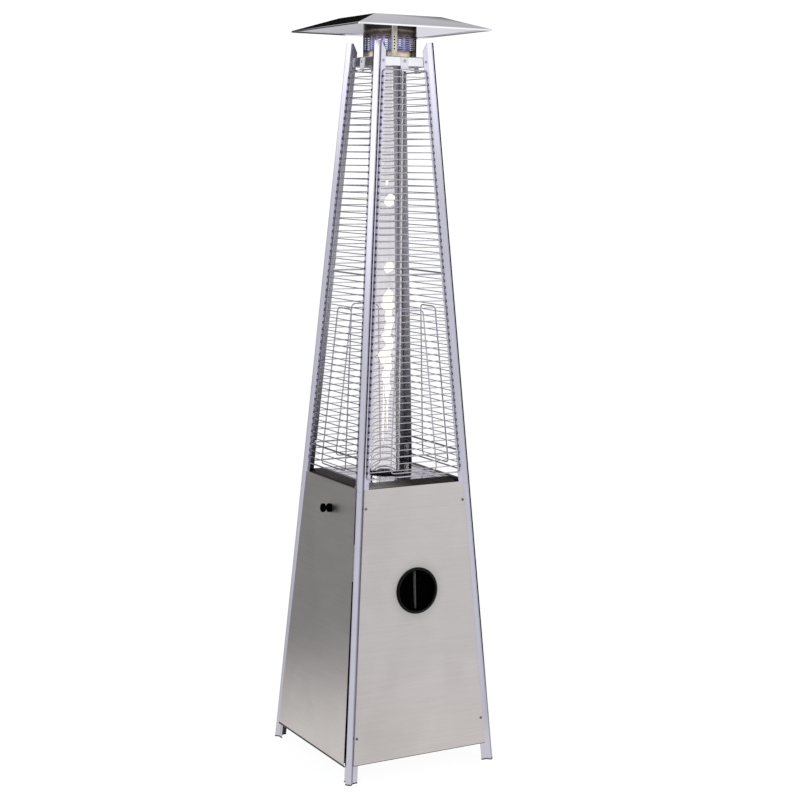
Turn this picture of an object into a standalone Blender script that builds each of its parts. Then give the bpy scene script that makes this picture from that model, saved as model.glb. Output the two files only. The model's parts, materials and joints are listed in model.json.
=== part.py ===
"""Glass tube patio heater.

Four leaning corner posts carry a sheet-metal base with a gas burner, a glass flame tube, wire
guards, a perforated flame screen and a square reflector. The front face looks along -Y, the door
is on the -X face, and the origin is on the floor at the centre of the base.
"""

import math

import bmesh
import bpy
from mathutils import Matrix, Vector

# Clearances shared by all pieces
GAP = 0.0003
CUT_OVERRUN = 0.002

# Overall shape: the four faces lean in at one slope
BASE_HALF = 0.248
TOP_HALF = 0.0892
POST_TOP_Z = 2.192
SPLIT_Z = 0.872
SLOPE = (BASE_HALF - TOP_HALF) / POST_TOP_Z
LEAN = math.atan(SLOPE)

# Corner posts: a flange on each face, two walls and a nose that stands out of the corner
POST_SHEET = 0.0015
NOSE_ROOT = 0.013
WALL_DEPTH = 0.016
FLANGE_WIDTH = 0.016
FLANGE_TOP_CUT = 0.027
FLANGE_HOLE_R = 0.0017
FLANGE_HOLE_DROP = 0.104
FOOT_HEIGHT = 0.003
FOOT_LIP = 0.001
SPIGOT_HALF_LENGTH = 0.06
SPIGOT_SHEET = 0.0012
SPIGOT_ROOT = 0.003
SPIGOT_LEAD = 0.003

# Square trays between the posts
TRAY_SHEET = 0.0012
BASE_TRAY_RIM = 0.020
HEARTH_RISE = 0.015
HEARTH_TOP_HALF = 0.1425
HEARTH_DEPTH = 0.0105
HEARTH_LIP = 0.004
HEARTH_HOLE_R = 0.040
TOP_PLATE_DROP = 0.044
TOP_PLATE_RIM = 0.027
TOP_PLATE_HOLE_R = 0.040

# Fixed panels on the front, right and rear
PANEL_SHEET = 0.001
PANEL_EDGE = 0.0142
PANEL_BOTTOM_Z = 0.052
PANEL_RETURN = 0.010
PANEL_RETURN_INSET = 0.001
PANEL_SCREW_TOP_DROP = 0.053
PANEL_TOP_RISE = 0.0035
PANEL_SCREW_BOTTOM_RISE = 0.082

# Screws with a low dome head
SCREW_HEAD_R = 0.0042
SCREW_HEAD_H = 0.0022
SCREW_DOME_SHARE = 0.7
SCREW_SHANK_R = 0.0019
SCREW_HOLE_R = 0.0022
SCREW_REACH = 0.004
SCREW_SIDES = 6
FLANGE_SCREW_EDGE = 0.021

# Door on the left face, hinged at its foot
DOOR_SHEET = 0.001
DOOR_EDGE = 0.018
DOOR_BOTTOM_Z = 0.047
DOOR_TOP_RISE = 0.005
DOOR_FOOT_STANDOFF = 0.009
DOOR_HEAD_STANDOFF = 0.004
DOOR_AXIS_INSET = 0.004
DOOR_AXIS_RISE = 0.003
DOOR_FOOT_RETURN = 0.007
DOOR_TAB_BOTTOM_Z = 0.602
DOOR_TAB_TOP_Z = 0.712
DOOR_CLEARANCE = 0.0006

# Door hinges
HINGE_FROM_CENTRE = 0.13
HINGE_PIN_R = 0.0015
HINGE_HOLE_R = 0.0018
HINGE_PIN_LENGTH = 0.010
HINGE_EAR_SHEET = 0.0015
HINGE_EAR_HALF = 0.0026
HINGE_LEG_WIDTH = 0.020
HINGE_LEG_HEIGHT = 0.016
HINGE_SHEET = 0.0012
HINGE_NOTCH_CLEARANCE = 0.0008
HINGE_CHAMFER_SHARE = 0.7
CLEVIS_SEAT_SHEET = 0.0008

# Door knob, a black dumbbell
DOOR_KNOB_Z = 0.793
DOOR_KNOB_SHIFT = 0.012
DOOR_KNOB_R = 0.0135
DOOR_KNOB_NECK_R = 0.0065
DOOR_KNOB_BASE = 0.007
DOOR_KNOB_NECK = 0.013
DOOR_KNOB_CAP = 0.008
DOOR_KNOB_ROUND = 0.002
DOOR_KNOB_SIDES = 16

# Rail and magnet that hold the door's head
HEADER_HEIGHT = 0.025
HEADER_DROP = 0.012
MAGNET_WIDTH = 0.030
MAGNET_HEIGHT = 0.012
STRIKE_SHEET = 0.0012
STRIKE_WIDTH = 0.034
STRIKE_HEIGHT = 0.014

# Round control on the front panel
CONTROL_Z = 0.557
BEZEL_R = 0.0706
BEZEL_FLAT_R = 0.0665
BEZEL_LIP_R = 0.0640
BEZEL_MOUTH_R = 0.0615
BEZEL_HEIGHT = 0.004
BEZEL_LIP_HEIGHT = 0.0065
CUP_R = 0.0647
CUP_WALL = 0.0015
CUP_DEPTH = 0.030
CUP_HOLE_R = 0.0075
CONTROL_SIDES = 32
KNOB_R = 0.0590
KNOB_FACE_DEPTH = 0.016
KNOB_DISC = 0.005
KNOB_HUB_R = 0.012
KNOB_HUB = 0.0025
KNOB_BORE_R = 0.0043
KNOB_BORE_DEPTH = 0.005
BLADE_HEAD_WIDTH = 0.0068
BLADE_FOOT_WIDTH = 0.0042
BLADE_HEIGHT = 0.007
BLADE_END_INSET = 0.0015

# Gas valve behind the control
SPINDLE_R = 0.004
SPINDLE_SEAT = 0.0004
SPINDLE_PLAY = 0.0003
BRACKET_SHEET = 0.0014
BRACKET_HALF = 0.076
BRACKET_FOOT = 0.012
BRACKET_HEIGHT = 0.060
VALVE_WIDTH = 0.040
VALVE_HEIGHT = 0.050
VALVE_DEPTH = 0.026
SPINDLE_REACH = 0.015
PUSH_TRAVEL = 0.004
INLET_NUT_R = 0.009
INLET_NUT = 0.010
INLET_BARB_R = 0.0045
INLET_BARB = 0.026
PIPE_R = 0.004
PIPE_BEND = 0.022
PIPE_SIDES = 8

# Burner under and through the hearth
BURNER_TRAY_HALF = 0.097
BURNER_SCREW_EDGE = 0.011
BURNER_CUP_R = 0.046
BURNER_CUP_DEPTH = 0.040
BURNER_CUP_SHEET = 0.0012
BURNER_HEAD_R = 0.027
BURNER_HEAD_RISE = 0.0135
BURNER_RIM = 0.006
BURNER_CROWN_R = 0.019
BURNER_STEM_R = 0.010
BURNER_DISC = 0.010
VENTURI_R = 0.014
VENTURI_BORE_R = 0.011
VENTURI_LENGTH = 0.045
INJECTOR_R = 0.0125
INJECTOR_LENGTH = 0.015
INJECTOR_NOSE_R = 0.005
INJECTOR_NOSE = 0.008
PIPE_END_RUN = 0.035
ROD_FROM_AXIS = 0.034
PILOT_R = 0.0035
CERAMIC_R = 0.0030
CERAMIC_HEIGHT = 0.030
ELECTRODE_R = 0.0012
THERMOCOUPLE_R = 0.0018
ROD_TIP_RISE = 0.010
PILOT_RISE = 0.006
ROD_SIDES = 8

# Safety switch that shuts the gas when the heater tips
TILT_SWITCH_WIDTH = 0.030
TILT_SWITCH_DEPTH = 0.020
TILT_SWITCH_HEIGHT = 0.025
TILT_SWITCH_INSET = 0.015

# Glass tube and its seats
TUBE_R = 0.0450
TUBE_WALL = 0.0025
TUBE_SIDES = 24
TUBE_END_PLAY = 0.004
GASKET_HEIGHT = 0.002
RING_WALL = 0.0065
RING_CLEARANCE = 0.0006
BASE_RING_HEIGHT = 0.006
COLLAR_HEIGHT = 0.018
RING_TAPER = 0.0015

# Flame screen and reflector
SCREEN_R = 0.0800
SCREEN_SHEET = 0.0008
SEAM_HALF_ANGLE = math.radians(6.5)
SEAM_ANGLE = math.radians(-106.5)
SEAM_SHEET = 0.0008
SEAM_END_INSET = 0.004
SEAM_STEPS = 4
CAP_RING_BORE_R = 0.055
CAP_RING_SHEET = 0.0015
CAP_RING_CLEARANCE = 0.0007
REFLECTOR_SHEET = 0.001
CROWN_RISE = 0.0745
CROWN_HALF = 0.1130
EAVE_HALF = 0.2215
REFLECTOR_DEPTH = 0.037
EAVE_LIP = 0.004
CROWN_CORNER = 0.002
EAVE_CORNER = 0.006
REFLECTOR_SCREW_R = 0.066
REFLECTOR_SCREWS = 4

# Wire guards, one on each face
GUARD_EDGE = 0.0185
GUARD_FRAME_WIRE = 0.0045
GUARD_WIRE = 0.003
GUARD_PITCH = 0.0202
GUARD_BOTTOM_RISE = 0.018
GUARD_TOP_DROP = 0.0125
GUARD_CORNER = 0.004
BAR_R = 0.0025
BAR_SIDES = 6
LOWER_BAR_ROW = 3
UPPER_BAR_ROW = 30
WELD_DEPTH = 0.0004
NOTCH_DEPTH = 0.007
NOTCH_HALF = 0.004
BAR_END_PLAY = 0.002
LOOP_R = 0.002
LOOP_FOOT_HALF = 0.0795
LOOP_HEAD_HALF = 0.0440
LOOP_HEAD_RISE = 0.495
LOOP_FOOT_RISE = 0.011
LOOP_BEND = 0.012
LOOP_SIDES = 4
BEND_STEPS = 4

# Hooks on the top plate's rim for the guards' top wires
HOOK_WIDTH = 0.026
HOOK_SHEET = 0.0014
HOOK_HEAD_DROP = 0.0025
HOOK_LIP = 0.003

# Values that follow from the sizes above
WALL_RUN = WALL_DEPTH / math.sqrt(2)
FLANGE_END = NOSE_ROOT + FLANGE_WIDTH
HEARTH_Z = SPLIT_Z + HEARTH_RISE
TOP_PLATE_Z = POST_TOP_Z - TOP_PLATE_DROP
CROWN_Z = POST_TOP_Z + CROWN_RISE
EAVE_Z = CROWN_Z - REFLECTOR_DEPTH
RIM_OUTSET = POST_SHEET + GAP
PANEL_OUTER = GAP + PANEL_SHEET
TOP_SCREW_Z = TOP_PLATE_Z - TOP_PLATE_RIM / 2
HINGE_ENDS = (("rear", -1), ("front", 1))
FACES = ("front", "right", "rear", "left")
CORNERS = ("front_left", "front_right", "rear_right", "rear_left")


def face_half(z):
    """Half the distance between opposite faces at height z."""
    return BASE_HALF - SLOPE * z


def along(z):
    """Distance up a leaning face of a point at height z."""
    return z / math.cos(LEAN)


def face_frame(index):
    """Frame on a face: X along it, -Y outward, Z up the slope."""
    turn = Matrix.Rotation(index * math.pi / 2, 4, "Z")
    return turn @ Matrix.Translation((0, -BASE_HALF, 0)) @ Matrix.Rotation(-LEAN, 4, "X")


def normal_frame(frame, x, out, height):
    """Frame at a point of a face whose Z looks outward and whose Y runs up the face."""
    return frame @ Matrix.Translation((x, -out, height)) @ Matrix.Rotation(math.pi / 2, 4, "X")


# Materials


def material(name, colour, roughness, metallic, alpha=1.0):
    shader = bpy.data.materials.new(name)
    shader.use_nodes = True
    surface = shader.node_tree.nodes["Principled BSDF"]
    surface.inputs["Base Color"].default_value = (*colour, 1.0)
    surface.inputs["Roughness"].default_value = roughness
    surface.inputs["Metallic"].default_value = metallic
    surface.inputs["Alpha"].default_value = alpha
    return shader


def make_materials():
    return {
        "post_steel": material("post_steel", (0.74, 0.73, 0.77), 0.32, 1.0),
        "brushed_steel": material("brushed_steel", (0.72, 0.70, 0.68), 0.38, 1.0),
        "polished_steel": material("polished_steel", (0.70, 0.70, 0.70), 0.12, 1.0),
        "chrome_wire": material("chrome_wire", (0.80, 0.80, 0.82), 0.15, 1.0),
        "heat_steel": material("heat_steel", (0.42, 0.38, 0.34), 0.35, 1.0),
        "black_plastic": material("black_plastic", (0.015, 0.015, 0.017), 0.35, 0.0),
        "grip_plastic": material("grip_plastic", (0.08, 0.08, 0.08), 0.45, 0.0),
        "glass": material("glass", (0.95, 0.97, 0.98), 0.03, 0.0, alpha=0.25),
        "rubber": material("rubber", (0.03, 0.03, 0.03), 0.7, 0.0),
        "black_iron": material("black_iron", (0.05, 0.05, 0.05), 0.6, 0.4),
        "zinc_steel": material("zinc_steel", (0.60, 0.60, 0.62), 0.4, 1.0),
        "brass": material("brass", (0.72, 0.53, 0.25), 0.3, 1.0),
        "ceramic": material("ceramic", (0.85, 0.84, 0.80), 0.4, 0.0),
    }


# Shape helpers: each adds closed bodies to a bmesh


def box(bm, low, high):
    spans = list(zip(low, high))
    corners = [bm.verts.new((x, y, z)) for z in spans[2] for y in spans[1] for x in spans[0]]
    for side in ((0, 1, 3, 2), (4, 6, 7, 5), (0, 4, 5, 1), (2, 3, 7, 6), (0, 2, 6, 4), (1, 5, 7, 3)):
        bm.faces.new([corners[i] for i in side])


def loft(bm, rings, cap_quads=None, looped=False):
    """Joins rings of points in turn, then the last to the first or else each end with a cap."""
    rows = [[bm.verts.new(point) for point in ring] for ring in rings]
    count = len(rows[0])
    for lower, upper in zip(rows, rows[1:] + rows[:1] * looped):
        for i in range(count):
            j = (i + 1) % count
            bm.faces.new((lower[i], lower[j], upper[j], upper[i]))
    for row in () if looped else (rows[0], rows[-1]):
        for face in cap_quads or [range(count)]:
            bm.faces.new([row[i] for i in face])


def extruded(bm, outline, vector):
    """Prism from a flat outline moved by a vector."""
    shift = Vector(vector)
    loft(bm, [outline, [Vector(point) + shift for point in outline]])


def polar(radius, angle, height):
    return Vector((radius * math.cos(angle), radius * math.sin(angle), height))


def turned(bm, profile, sides, frame=None):
    """Solid of revolution about Z, from a profile that starts and ends on the axis or else is closed up."""
    frame = frame or Matrix.Identity(4)
    rings = []
    for radius, height in profile:
        if radius == 0:
            rings.append([bm.verts.new(frame @ Vector((0, 0, height)))] * sides)
            continue
        ring = []
        for i in range(sides):
            point = polar(radius, 2 * math.pi * i / sides, height)
            ring.append(bm.verts.new(frame @ point))
        rings.append(ring)
    pairs = list(zip(rings, rings[1:]))
    if profile[0][0] > 0:
        pairs.append((rings[-1], rings[0]))
    for low, high in pairs:
        for i in range(sides):
            j = (i + 1) % sides
            corners = dict.fromkeys((low[i], low[j], high[j], high[i]))
            if len(corners) > 2:
                bm.faces.new(tuple(corners))


def cylinder(bm, radius, low, high, sides, frame=None):
    turned(bm, [(0, high), (radius, high), (radius, low), (0, low)], sides, frame)


def filleted(points, radius, steps, closed=False):
    """Polyline with its corners rounded by arcs."""
    points = [Vector(point) for point in points]
    path = [] if closed else points[:1]
    ring = points[-1:] + points + points[:1] if closed else points
    for before, corner, after in zip(ring, ring[1:], ring[2:]):
        back = (before - corner).normalized()
        ahead = (after - corner).normalized()
        half_turn = back.angle(ahead) / 2
        reach = radius / math.tan(half_turn)
        centre = corner + (back + ahead).normalized() * radius / math.sin(half_turn)
        start = corner + back * reach - centre
        end = corner + ahead * reach - centre
        sweep = start.angle(end)
        for i in range(steps + 1):
            share = i / steps
            arm = start * math.sin(sweep * (1 - share)) + end * math.sin(sweep * share)
            path.append(centre + arm / math.sin(sweep))
    return path if closed else path + [points[-1]]


def rod(bm, path, radius, sides, closed=False):
    """Bar along a path that doesn't start along Y, its rings carried on without twist."""
    path = [Vector(point) for point in path]
    before, after = (path[-1:], path[:1]) if closed else (path[:1], path[-1:])
    ring = before + path + after
    tangents = [(ahead - back).normalized() for back, ahead in zip(ring, ring[2:])]
    side = Vector((0, 1, 0))
    rings = []
    for point, tangent in zip(path, tangents):
        side = (side - tangent * side.dot(tangent)).normalized()
        other = tangent.cross(side)
        angles = [2 * math.pi * (i + 0.5) / sides for i in range(sides)]
        rings.append([point + (side * math.cos(a) + other * math.sin(a)) * radius for a in angles])
    loft(bm, rings, looped=closed)


def offset_path(path, *distances):
    """Open polyline moved to its right, by one distance or one for each stretch, with mitred corners."""
    stretches = list(zip(path, path[1:]))
    if len(distances) == 1:
        distances *= len(stretches)
    lines = []
    for (start, end), distance in zip(stretches, distances):
        direction = (end - start).normalized()
        right = Vector((direction.y, -direction.x))
        lines.append((start + right * distance, direction))
    moved = [lines[0][0]]
    for (point, direction), (other, turn) in zip(lines, lines[1:]):
        cross = direction.x * turn.y - direction.y * turn.x
        reach = ((other.x - point.x) * turn.y - (other.y - point.y) * turn.x) / cross
        moved.append(point + direction * reach)
    last, direction = lines[-1]
    return moved + [last + direction * (path[-1] - path[-2]).length]


# Objects


def add_object(name, bm, shader, frame=None, parent=None, smooth_angle=None):
    bmesh.ops.recalc_face_normals(bm, faces=bm.faces)
    mesh = bpy.data.meshes.new(name)
    bm.to_mesh(mesh)
    bm.free()
    if shader:
        mesh.materials.append(shader)
    if smooth_angle:
        mesh.shade_smooth()
        mesh.set_sharp_from_angle(angle=smooth_angle)
    item = bpy.data.objects.new(name, mesh)
    bpy.context.scene.collection.objects.link(item)
    if parent:
        item.parent = parent
    if frame:
        item.matrix_local = frame
    return item


def add_empty(name, frame, parent=None):
    empty = bpy.data.objects.new(name, None)
    bpy.context.scene.collection.objects.link(empty)
    if parent:
        empty.parent = parent
    empty.matrix_local = frame
    return empty


def helper(name, bm, frame=None, parent=None):
    """Guide shape for a Boolean, left out of the model."""
    guide = add_object(name, bm, None, frame, parent)
    guide.hide_render = True
    guide.display_type = "WIRE"
    return guide


def boolean(item, guide, operation):
    modifier = item.modifiers.new(guide.name, "BOOLEAN")
    modifier.operation = operation
    modifier.solver = "EXACT"
    modifier.object = guide


SMOOTH = math.radians(35)
TURN_TO_X = Matrix.Rotation(math.pi / 2, 4, "Y")


def square_ring(half, z, cut=None):
    """Square at one height, with its corners cut off where a cut is given."""
    if cut is None:
        return [(half, -half, z), (half, half, z), (-half, half, z), (-half, -half, z)]
    near = half - cut
    ring = []
    for x, y in ((1, -1), (1, 1), (-1, 1), (-1, -1)):
        first, second = (x * near, y * half, z), (x * half, y * near, z)
        ring += [first, second] if x * y < 0 else [second, first]
    return ring


# Posts


def post_path():
    """Outer line of the post's section, measured outward from the corner where two faces meet."""
    return [
        Vector((-FLANGE_END, 0)),
        Vector((-NOSE_ROOT, 0)),
        Vector((WALL_RUN - NOSE_ROOT, WALL_RUN)),
        Vector((WALL_RUN, WALL_RUN - NOSE_ROOT)),
        Vector((0, -NOSE_ROOT)),
        Vector((0, -FLANGE_END)),
    ]


def corner_point(section, z):
    half = face_half(z)
    return (-half - section.x, -half - section.y, z)


def folded_sheet(bm, outer, inner, bottom_z, top_z, end_drop=0.0):
    """Folded sheet that follows a leaning corner from one height to another."""
    outline = outer + inner[::-1]
    last = len(outer) - 1
    ends = (0, last, last + 1, len(outline) - 1)
    lower = [corner_point(point, bottom_z) for point in outline]
    top_heights = [top_z - (end_drop if i in ends else 0) for i in range(len(outline))]
    upper = [corner_point(point, z) for point, z in zip(outline, top_heights)]
    loft(bm, [lower, upper], sheet_quads(len(outline)))


def sheet_quads(count):
    """Corners of the end faces of a folded sheet, one for each of its flat stretches."""
    return [(i, i + 1, count - 2 - i, count - 1 - i) for i in range(count // 2 - 1)]


def spigot(bm):
    """Folded plate welded inside the lower post's nose, on which the upper post is pushed."""
    lead = WALL_RUN * SPIGOT_ROOT / WALL_DEPTH
    path = post_path()[1:5]
    path[0] = path[0] + Vector((lead, lead))
    path[3] = path[3] + Vector((lead, lead))
    welded_depth, free_depth = POST_SHEET / 2, POST_SHEET + GAP
    nose_depth = free_depth + GAP
    inner_depth = nose_depth + SPIGOT_SHEET
    rings = []
    for z, depth in (
        (SPLIT_Z - SPIGOT_HALF_LENGTH, welded_depth),
        (SPLIT_Z - SPIGOT_LEAD, welded_depth),
        (SPLIT_Z - GAP, free_depth),
        (SPLIT_Z + SPIGOT_HALF_LENGTH, free_depth),
    ):
        outline = offset_path(path, depth, nose_depth, depth) + offset_path(path, inner_depth)[::-1]
        rings.append([corner_point(point, z) for point in outline])
    loft(bm, rings, sheet_quads(len(rings[0])))


def make_posts(shaders):
    outer = post_path()
    inner = offset_path(outer, POST_SHEET)
    post_foot = FOOT_HEIGHT + GAP
    posts = {}
    for index, corner in enumerate(CORNERS):
        turn = Matrix.Rotation(index * math.pi / 2, 4, "Z")
        bm = bmesh.new()
        folded_sheet(bm, outer, inner, post_foot, SPLIT_Z)
        lower_post = add_object("lower_post_" + corner, bm, shaders["post_steel"], turn)
        bm = bmesh.new()
        spigot(bm)
        boolean(lower_post, helper("spigot_" + corner, bm, turn), "UNION")
        posts["lower", index] = lower_post
        bm = bmesh.new()
        folded_sheet(bm, outer, inner, SPLIT_Z + GAP, POST_TOP_Z, FLANGE_TOP_CUT)
        posts["upper", index] = add_object("upper_post_" + corner, bm, shaders["post_steel"], turn)
    return posts


def make_feet(shaders):
    """Thin plastic pads under the posts."""
    wide = offset_path(post_path(), -FOOT_LIP)
    narrow = offset_path(post_path(), POST_SHEET + FOOT_LIP)
    for index, corner in enumerate(CORNERS):
        bm = bmesh.new()
        folded_sheet(bm, wide, narrow, 0.0, FOOT_HEIGHT)
        turn = Matrix.Rotation(index * math.pi / 2, 4, "Z")
        add_object("foot_pad_" + corner, bm, shaders["rubber"], turn)


# Screws and their holes


def add_screw(bm, frame, sheet, reach):
    """Dome head on the frame's origin, sunk half into its sheet, with the shank behind it."""
    profile = [
        (0, SCREW_HEAD_H),
        (SCREW_HEAD_R * SCREW_DOME_SHARE, SCREW_HEAD_H * SCREW_DOME_SHARE),
        (SCREW_HEAD_R, 0),
        (SCREW_HEAD_R, -sheet / 2),
        (SCREW_SHANK_R, -sheet / 2),
        (SCREW_SHANK_R, -reach),
        (0, -reach),
    ]
    turned(bm, profile, SCREW_SIDES, frame)


def add_drill(bm, frame, radius, reach):
    cylinder(bm, radius, -reach, CUT_OVERRUN, SCREW_SIDES, frame)


def fasten(name, holder, held, spots, sheet, depth):
    """Screws fixed in their holder whose shanks pass through clear holes in what they hold."""
    screws, drill = bmesh.new(), bmesh.new()
    for spot in spots:
        add_screw(screws, spot, sheet, depth + SCREW_REACH)
        add_drill(drill, spot, SCREW_HOLE_R, depth + SCREW_REACH + CUT_OVERRUN)
    boolean(holder, helper(name + "_screws", screws), "UNION")
    guide = helper(name + "_drill", drill)
    for item in held:
        boolean(item, guide, "DIFFERENCE")


def flange_spots(index, z, out, sides=(-1, 1)):
    """Frames over a face's flanges that look outward, at one height."""
    reach = face_half(z) - FLANGE_SCREW_EDGE
    return [normal_frame(face_frame(index), side * reach, out, along(z)) for side in sides]


def fix_panels(posts, panels):
    for index, panel in panels.items():
        spots = flange_spots(index, PANEL_BOTTOM_Z + PANEL_SCREW_BOTTOM_RISE, PANEL_OUTER)
        spots += flange_spots(index, SPLIT_Z - PANEL_SCREW_TOP_DROP, PANEL_OUTER)
        lower_posts = [posts["lower", index], posts["lower", (index + 1) % len(FACES)]]
        fasten("panel_" + FACES[index], panel, lower_posts, spots, PANEL_SHEET, PANEL_OUTER)


def fix_top_plate(posts, top_plate):
    """Screws through the upper posts' flanges, and the small empty holes below them."""
    for index, corner in enumerate(CORNERS):
        before = (index - 1) % len(FACES)
        spots = flange_spots(index, TOP_SCREW_Z, 0, (-1,)) + flange_spots(before, TOP_SCREW_Z, 0, (1,))
        fasten("top_" + corner, posts["upper", index], [top_plate], spots, POST_SHEET, RIM_OUTSET)
        drill = bmesh.new()
        low_z = POST_TOP_Z - FLANGE_HOLE_DROP
        for spot in flange_spots(index, low_z, 0, (-1,)) + flange_spots(before, low_z, 0, (1,)):
            add_drill(drill, spot, FLANGE_HOLE_R, POST_SHEET + CUT_OVERRUN)
        boolean(posts["upper", index], helper("flange_holes_" + corner, drill), "DIFFERENCE")


# Trays


def tray(bm, floor_z, rim_z, sheet):
    """Square folded plate between the posts, with its rim up or down from the plate."""
    turn = 1 if rim_z > floor_z else -1
    levels = [(floor_z, 0), (rim_z, 0), (rim_z, sheet), (floor_z + turn * sheet, sheet)]
    loft(bm, [square_ring(face_half(z) - RIM_OUTSET - inset, z) for z, inset in levels])


def hearth(bm):
    """Flat top with four shallow slopes around it that end in an upright lip between the posts."""
    foot_z = HEARTH_Z - HEARTH_DEPTH
    shoulder_z = foot_z + HEARTH_LIP
    foot = face_half(foot_z) - RIM_OUTSET
    shoulder = face_half(shoulder_z) - RIM_OUTSET
    rings = [
        (HEARTH_TOP_HALF, HEARTH_Z),
        (shoulder, shoulder_z),
        (foot, foot_z),
        (foot - TRAY_SHEET, foot_z),
        (shoulder - TRAY_SHEET, shoulder_z - TRAY_SHEET),
        (HEARTH_TOP_HALF, HEARTH_Z - TRAY_SHEET),
    ]
    loft(bm, [square_ring(half, z) for half, z in rings])


def base_tray_z():
    return PANEL_BOTTOM_Z + PANEL_SHEET + GAP * 2


def bored_plate(name, bm, z, bore, shader):
    """Plate at height z with a round hole in its middle."""
    plate = add_object(name, bm, shader)
    bm = bmesh.new()
    cylinder(bm, bore, z - TRAY_SHEET - CUT_OVERRUN, z + CUT_OVERRUN, TUBE_SIDES)
    boolean(plate, helper(name + "_bore", bm), "DIFFERENCE")
    return plate


def make_trays(shaders):
    bm = bmesh.new()
    tray(bm, base_tray_z(), base_tray_z() + BASE_TRAY_RIM, TRAY_SHEET)
    add_object("base_tray", bm, shaders["zinc_steel"])
    bm = bmesh.new()
    hearth(bm)
    finish = shaders["polished_steel"]
    hearth_plate = bored_plate("hearth_plate", bm, HEARTH_Z, HEARTH_HOLE_R, finish)
    bm = bmesh.new()
    tray(bm, TOP_PLATE_Z, TOP_PLATE_Z - TOP_PLATE_RIM, TRAY_SHEET)
    finish = shaders["post_steel"]
    return hearth_plate, bored_plate("top_plate", bm, TOP_PLATE_Z, TOP_PLATE_HOLE_R, finish)


# Panels


def trapezoid(bm, edge, bottom_z, top_z, outer, sheet):
    """Flat sheet on a face's frame that follows the face's taper."""
    outline = []
    for z, side in ((bottom_z, -1), (bottom_z, 1), (top_z, 1), (top_z, -1)):
        outline.append(Vector((side * (face_half(z) - edge), -outer, along(z))))
    extruded(bm, outline, (0, sheet, 0))


def make_panels(shaders, face_empties):
    panels = {}
    top_z = SPLIT_Z + PANEL_TOP_RISE
    for index in range(len(FACES) - 1):
        bm = bmesh.new()
        trapezoid(bm, PANEL_EDGE, PANEL_BOTTOM_Z, top_z, PANEL_OUTER, PANEL_SHEET)
        name = FACES[index] + "_panel"
        panel = add_object(name, bm, shaders["brushed_steel"], parent=face_empties[index])
        bm = bmesh.new()
        mid_sheet = -GAP - PANEL_SHEET / 2
        for z, low, high in ((PANEL_BOTTOM_Z, 0, PANEL_SHEET), (top_z, -PANEL_SHEET, 0)):
            half = face_half(z) - FLANGE_END - PANEL_RETURN_INSET
            box(bm, (-half, mid_sheet, along(z) + low), (half, PANEL_RETURN, along(z) + high))
        boolean(panel, helper(FACES[index] + "_returns", bm, parent=face_empties[index]), "UNION")
        panels[index] = panel
    return panels


# Door


def door_axis_out():
    return DOOR_FOOT_STANDOFF - DOOR_AXIS_INSET


def door_tilt():
    height = SPLIT_Z + DOOR_TOP_RISE - DOOR_BOTTOM_Z
    return math.atan((DOOR_FOOT_STANDOFF - DOOR_HEAD_STANDOFF) / height)


def door_axis_z():
    return DOOR_BOTTOM_Z + DOOR_AXIS_RISE


def door_height(z):
    """Distance up the door from its hinge axis."""
    return along(z) - along(door_axis_z())


def door_skin_out(z):
    """Distance of the door sheet's inner side from the face."""
    return DOOR_FOOT_STANDOFF - door_height(z) * math.tan(door_tilt())


def door_inward(z, out):
    """Place inward from the hinge axis, on the door's frame, of a point some way out of the face."""
    return door_axis_out() - out - door_height(z) * math.tan(door_tilt())


def door_outline(bm, bottom_z, top_z, edge, outer, sheet):
    outline = []
    for z, side in ((bottom_z, -1), (bottom_z, 1), (top_z, 1), (top_z, -1)):
        outline.append(Vector((side * (face_half(z) - edge), -outer, door_height(z))))
    extruded(bm, outline, (0, sheet, 0))


def make_door(shaders, door_empty):
    skin_inner = DOOR_AXIS_INSET
    skin_outer = DOOR_AXIS_INSET + DOOR_SHEET
    mid_skin = -skin_inner - DOOR_SHEET / 2
    door_top_z = SPLIT_Z + DOOR_TOP_RISE
    foot = door_height(DOOR_BOTTOM_Z)
    head = door_height(door_top_z)
    bm = bmesh.new()
    door_outline(bm, DOOR_BOTTOM_Z, door_top_z, DOOR_EDGE, skin_outer, DOOR_SHEET)
    door = add_object("door_panel", bm, shaders["brushed_steel"], parent=door_empty)
    bm = bmesh.new()
    foot_half = face_half(DOOR_BOTTOM_Z) - DOOR_EDGE - DOOR_SHEET
    box(bm, (-foot_half, mid_skin, foot), (foot_half, DOOR_FOOT_RETURN - skin_inner, foot + DOOR_SHEET))
    head_half = face_half(door_top_z) - DOOR_EDGE - DOOR_SHEET
    head_reach = door_inward(door_top_z, DOOR_CLEARANCE)
    box(bm, (-head_half, mid_skin, head - DOOR_SHEET), (head_half, head_reach, head))
    for side in (-1, 1):
        outline = []
        for z, edge in (
            (DOOR_TAB_BOTTOM_Z, DOOR_EDGE + GAP),
            (DOOR_TAB_TOP_Z, DOOR_EDGE + GAP),
            (DOOR_TAB_TOP_Z, DOOR_EDGE + GAP + DOOR_SHEET),
            (DOOR_TAB_BOTTOM_Z, DOOR_EDGE + GAP + DOOR_SHEET),
        ):
            outline.append(Vector((side * (face_half(z) - edge), mid_skin, door_height(z))))
        reach = door_inward(DOOR_TAB_TOP_Z, DOOR_CLEARANCE + GAP) - mid_skin
        extruded(bm, outline, (0, reach, 0))
    boolean(door, helper("door_returns", bm, parent=door_empty), "UNION")
    bm = bmesh.new()
    for side in (-1, 1):
        half = HINGE_SHEET / 2 + HINGE_NOTCH_CLEARANCE
        low = (side * HINGE_FROM_CENTRE - half, -skin_inner + GAP, foot - CUT_OVERRUN)
        box(bm, low, (side * HINGE_FROM_CENTRE + half, DOOR_FOOT_RETURN, foot + DOOR_SHEET + CUT_OVERRUN))
    boolean(door, helper("door_notches", bm, parent=door_empty), "DIFFERENCE")
    return door


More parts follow.
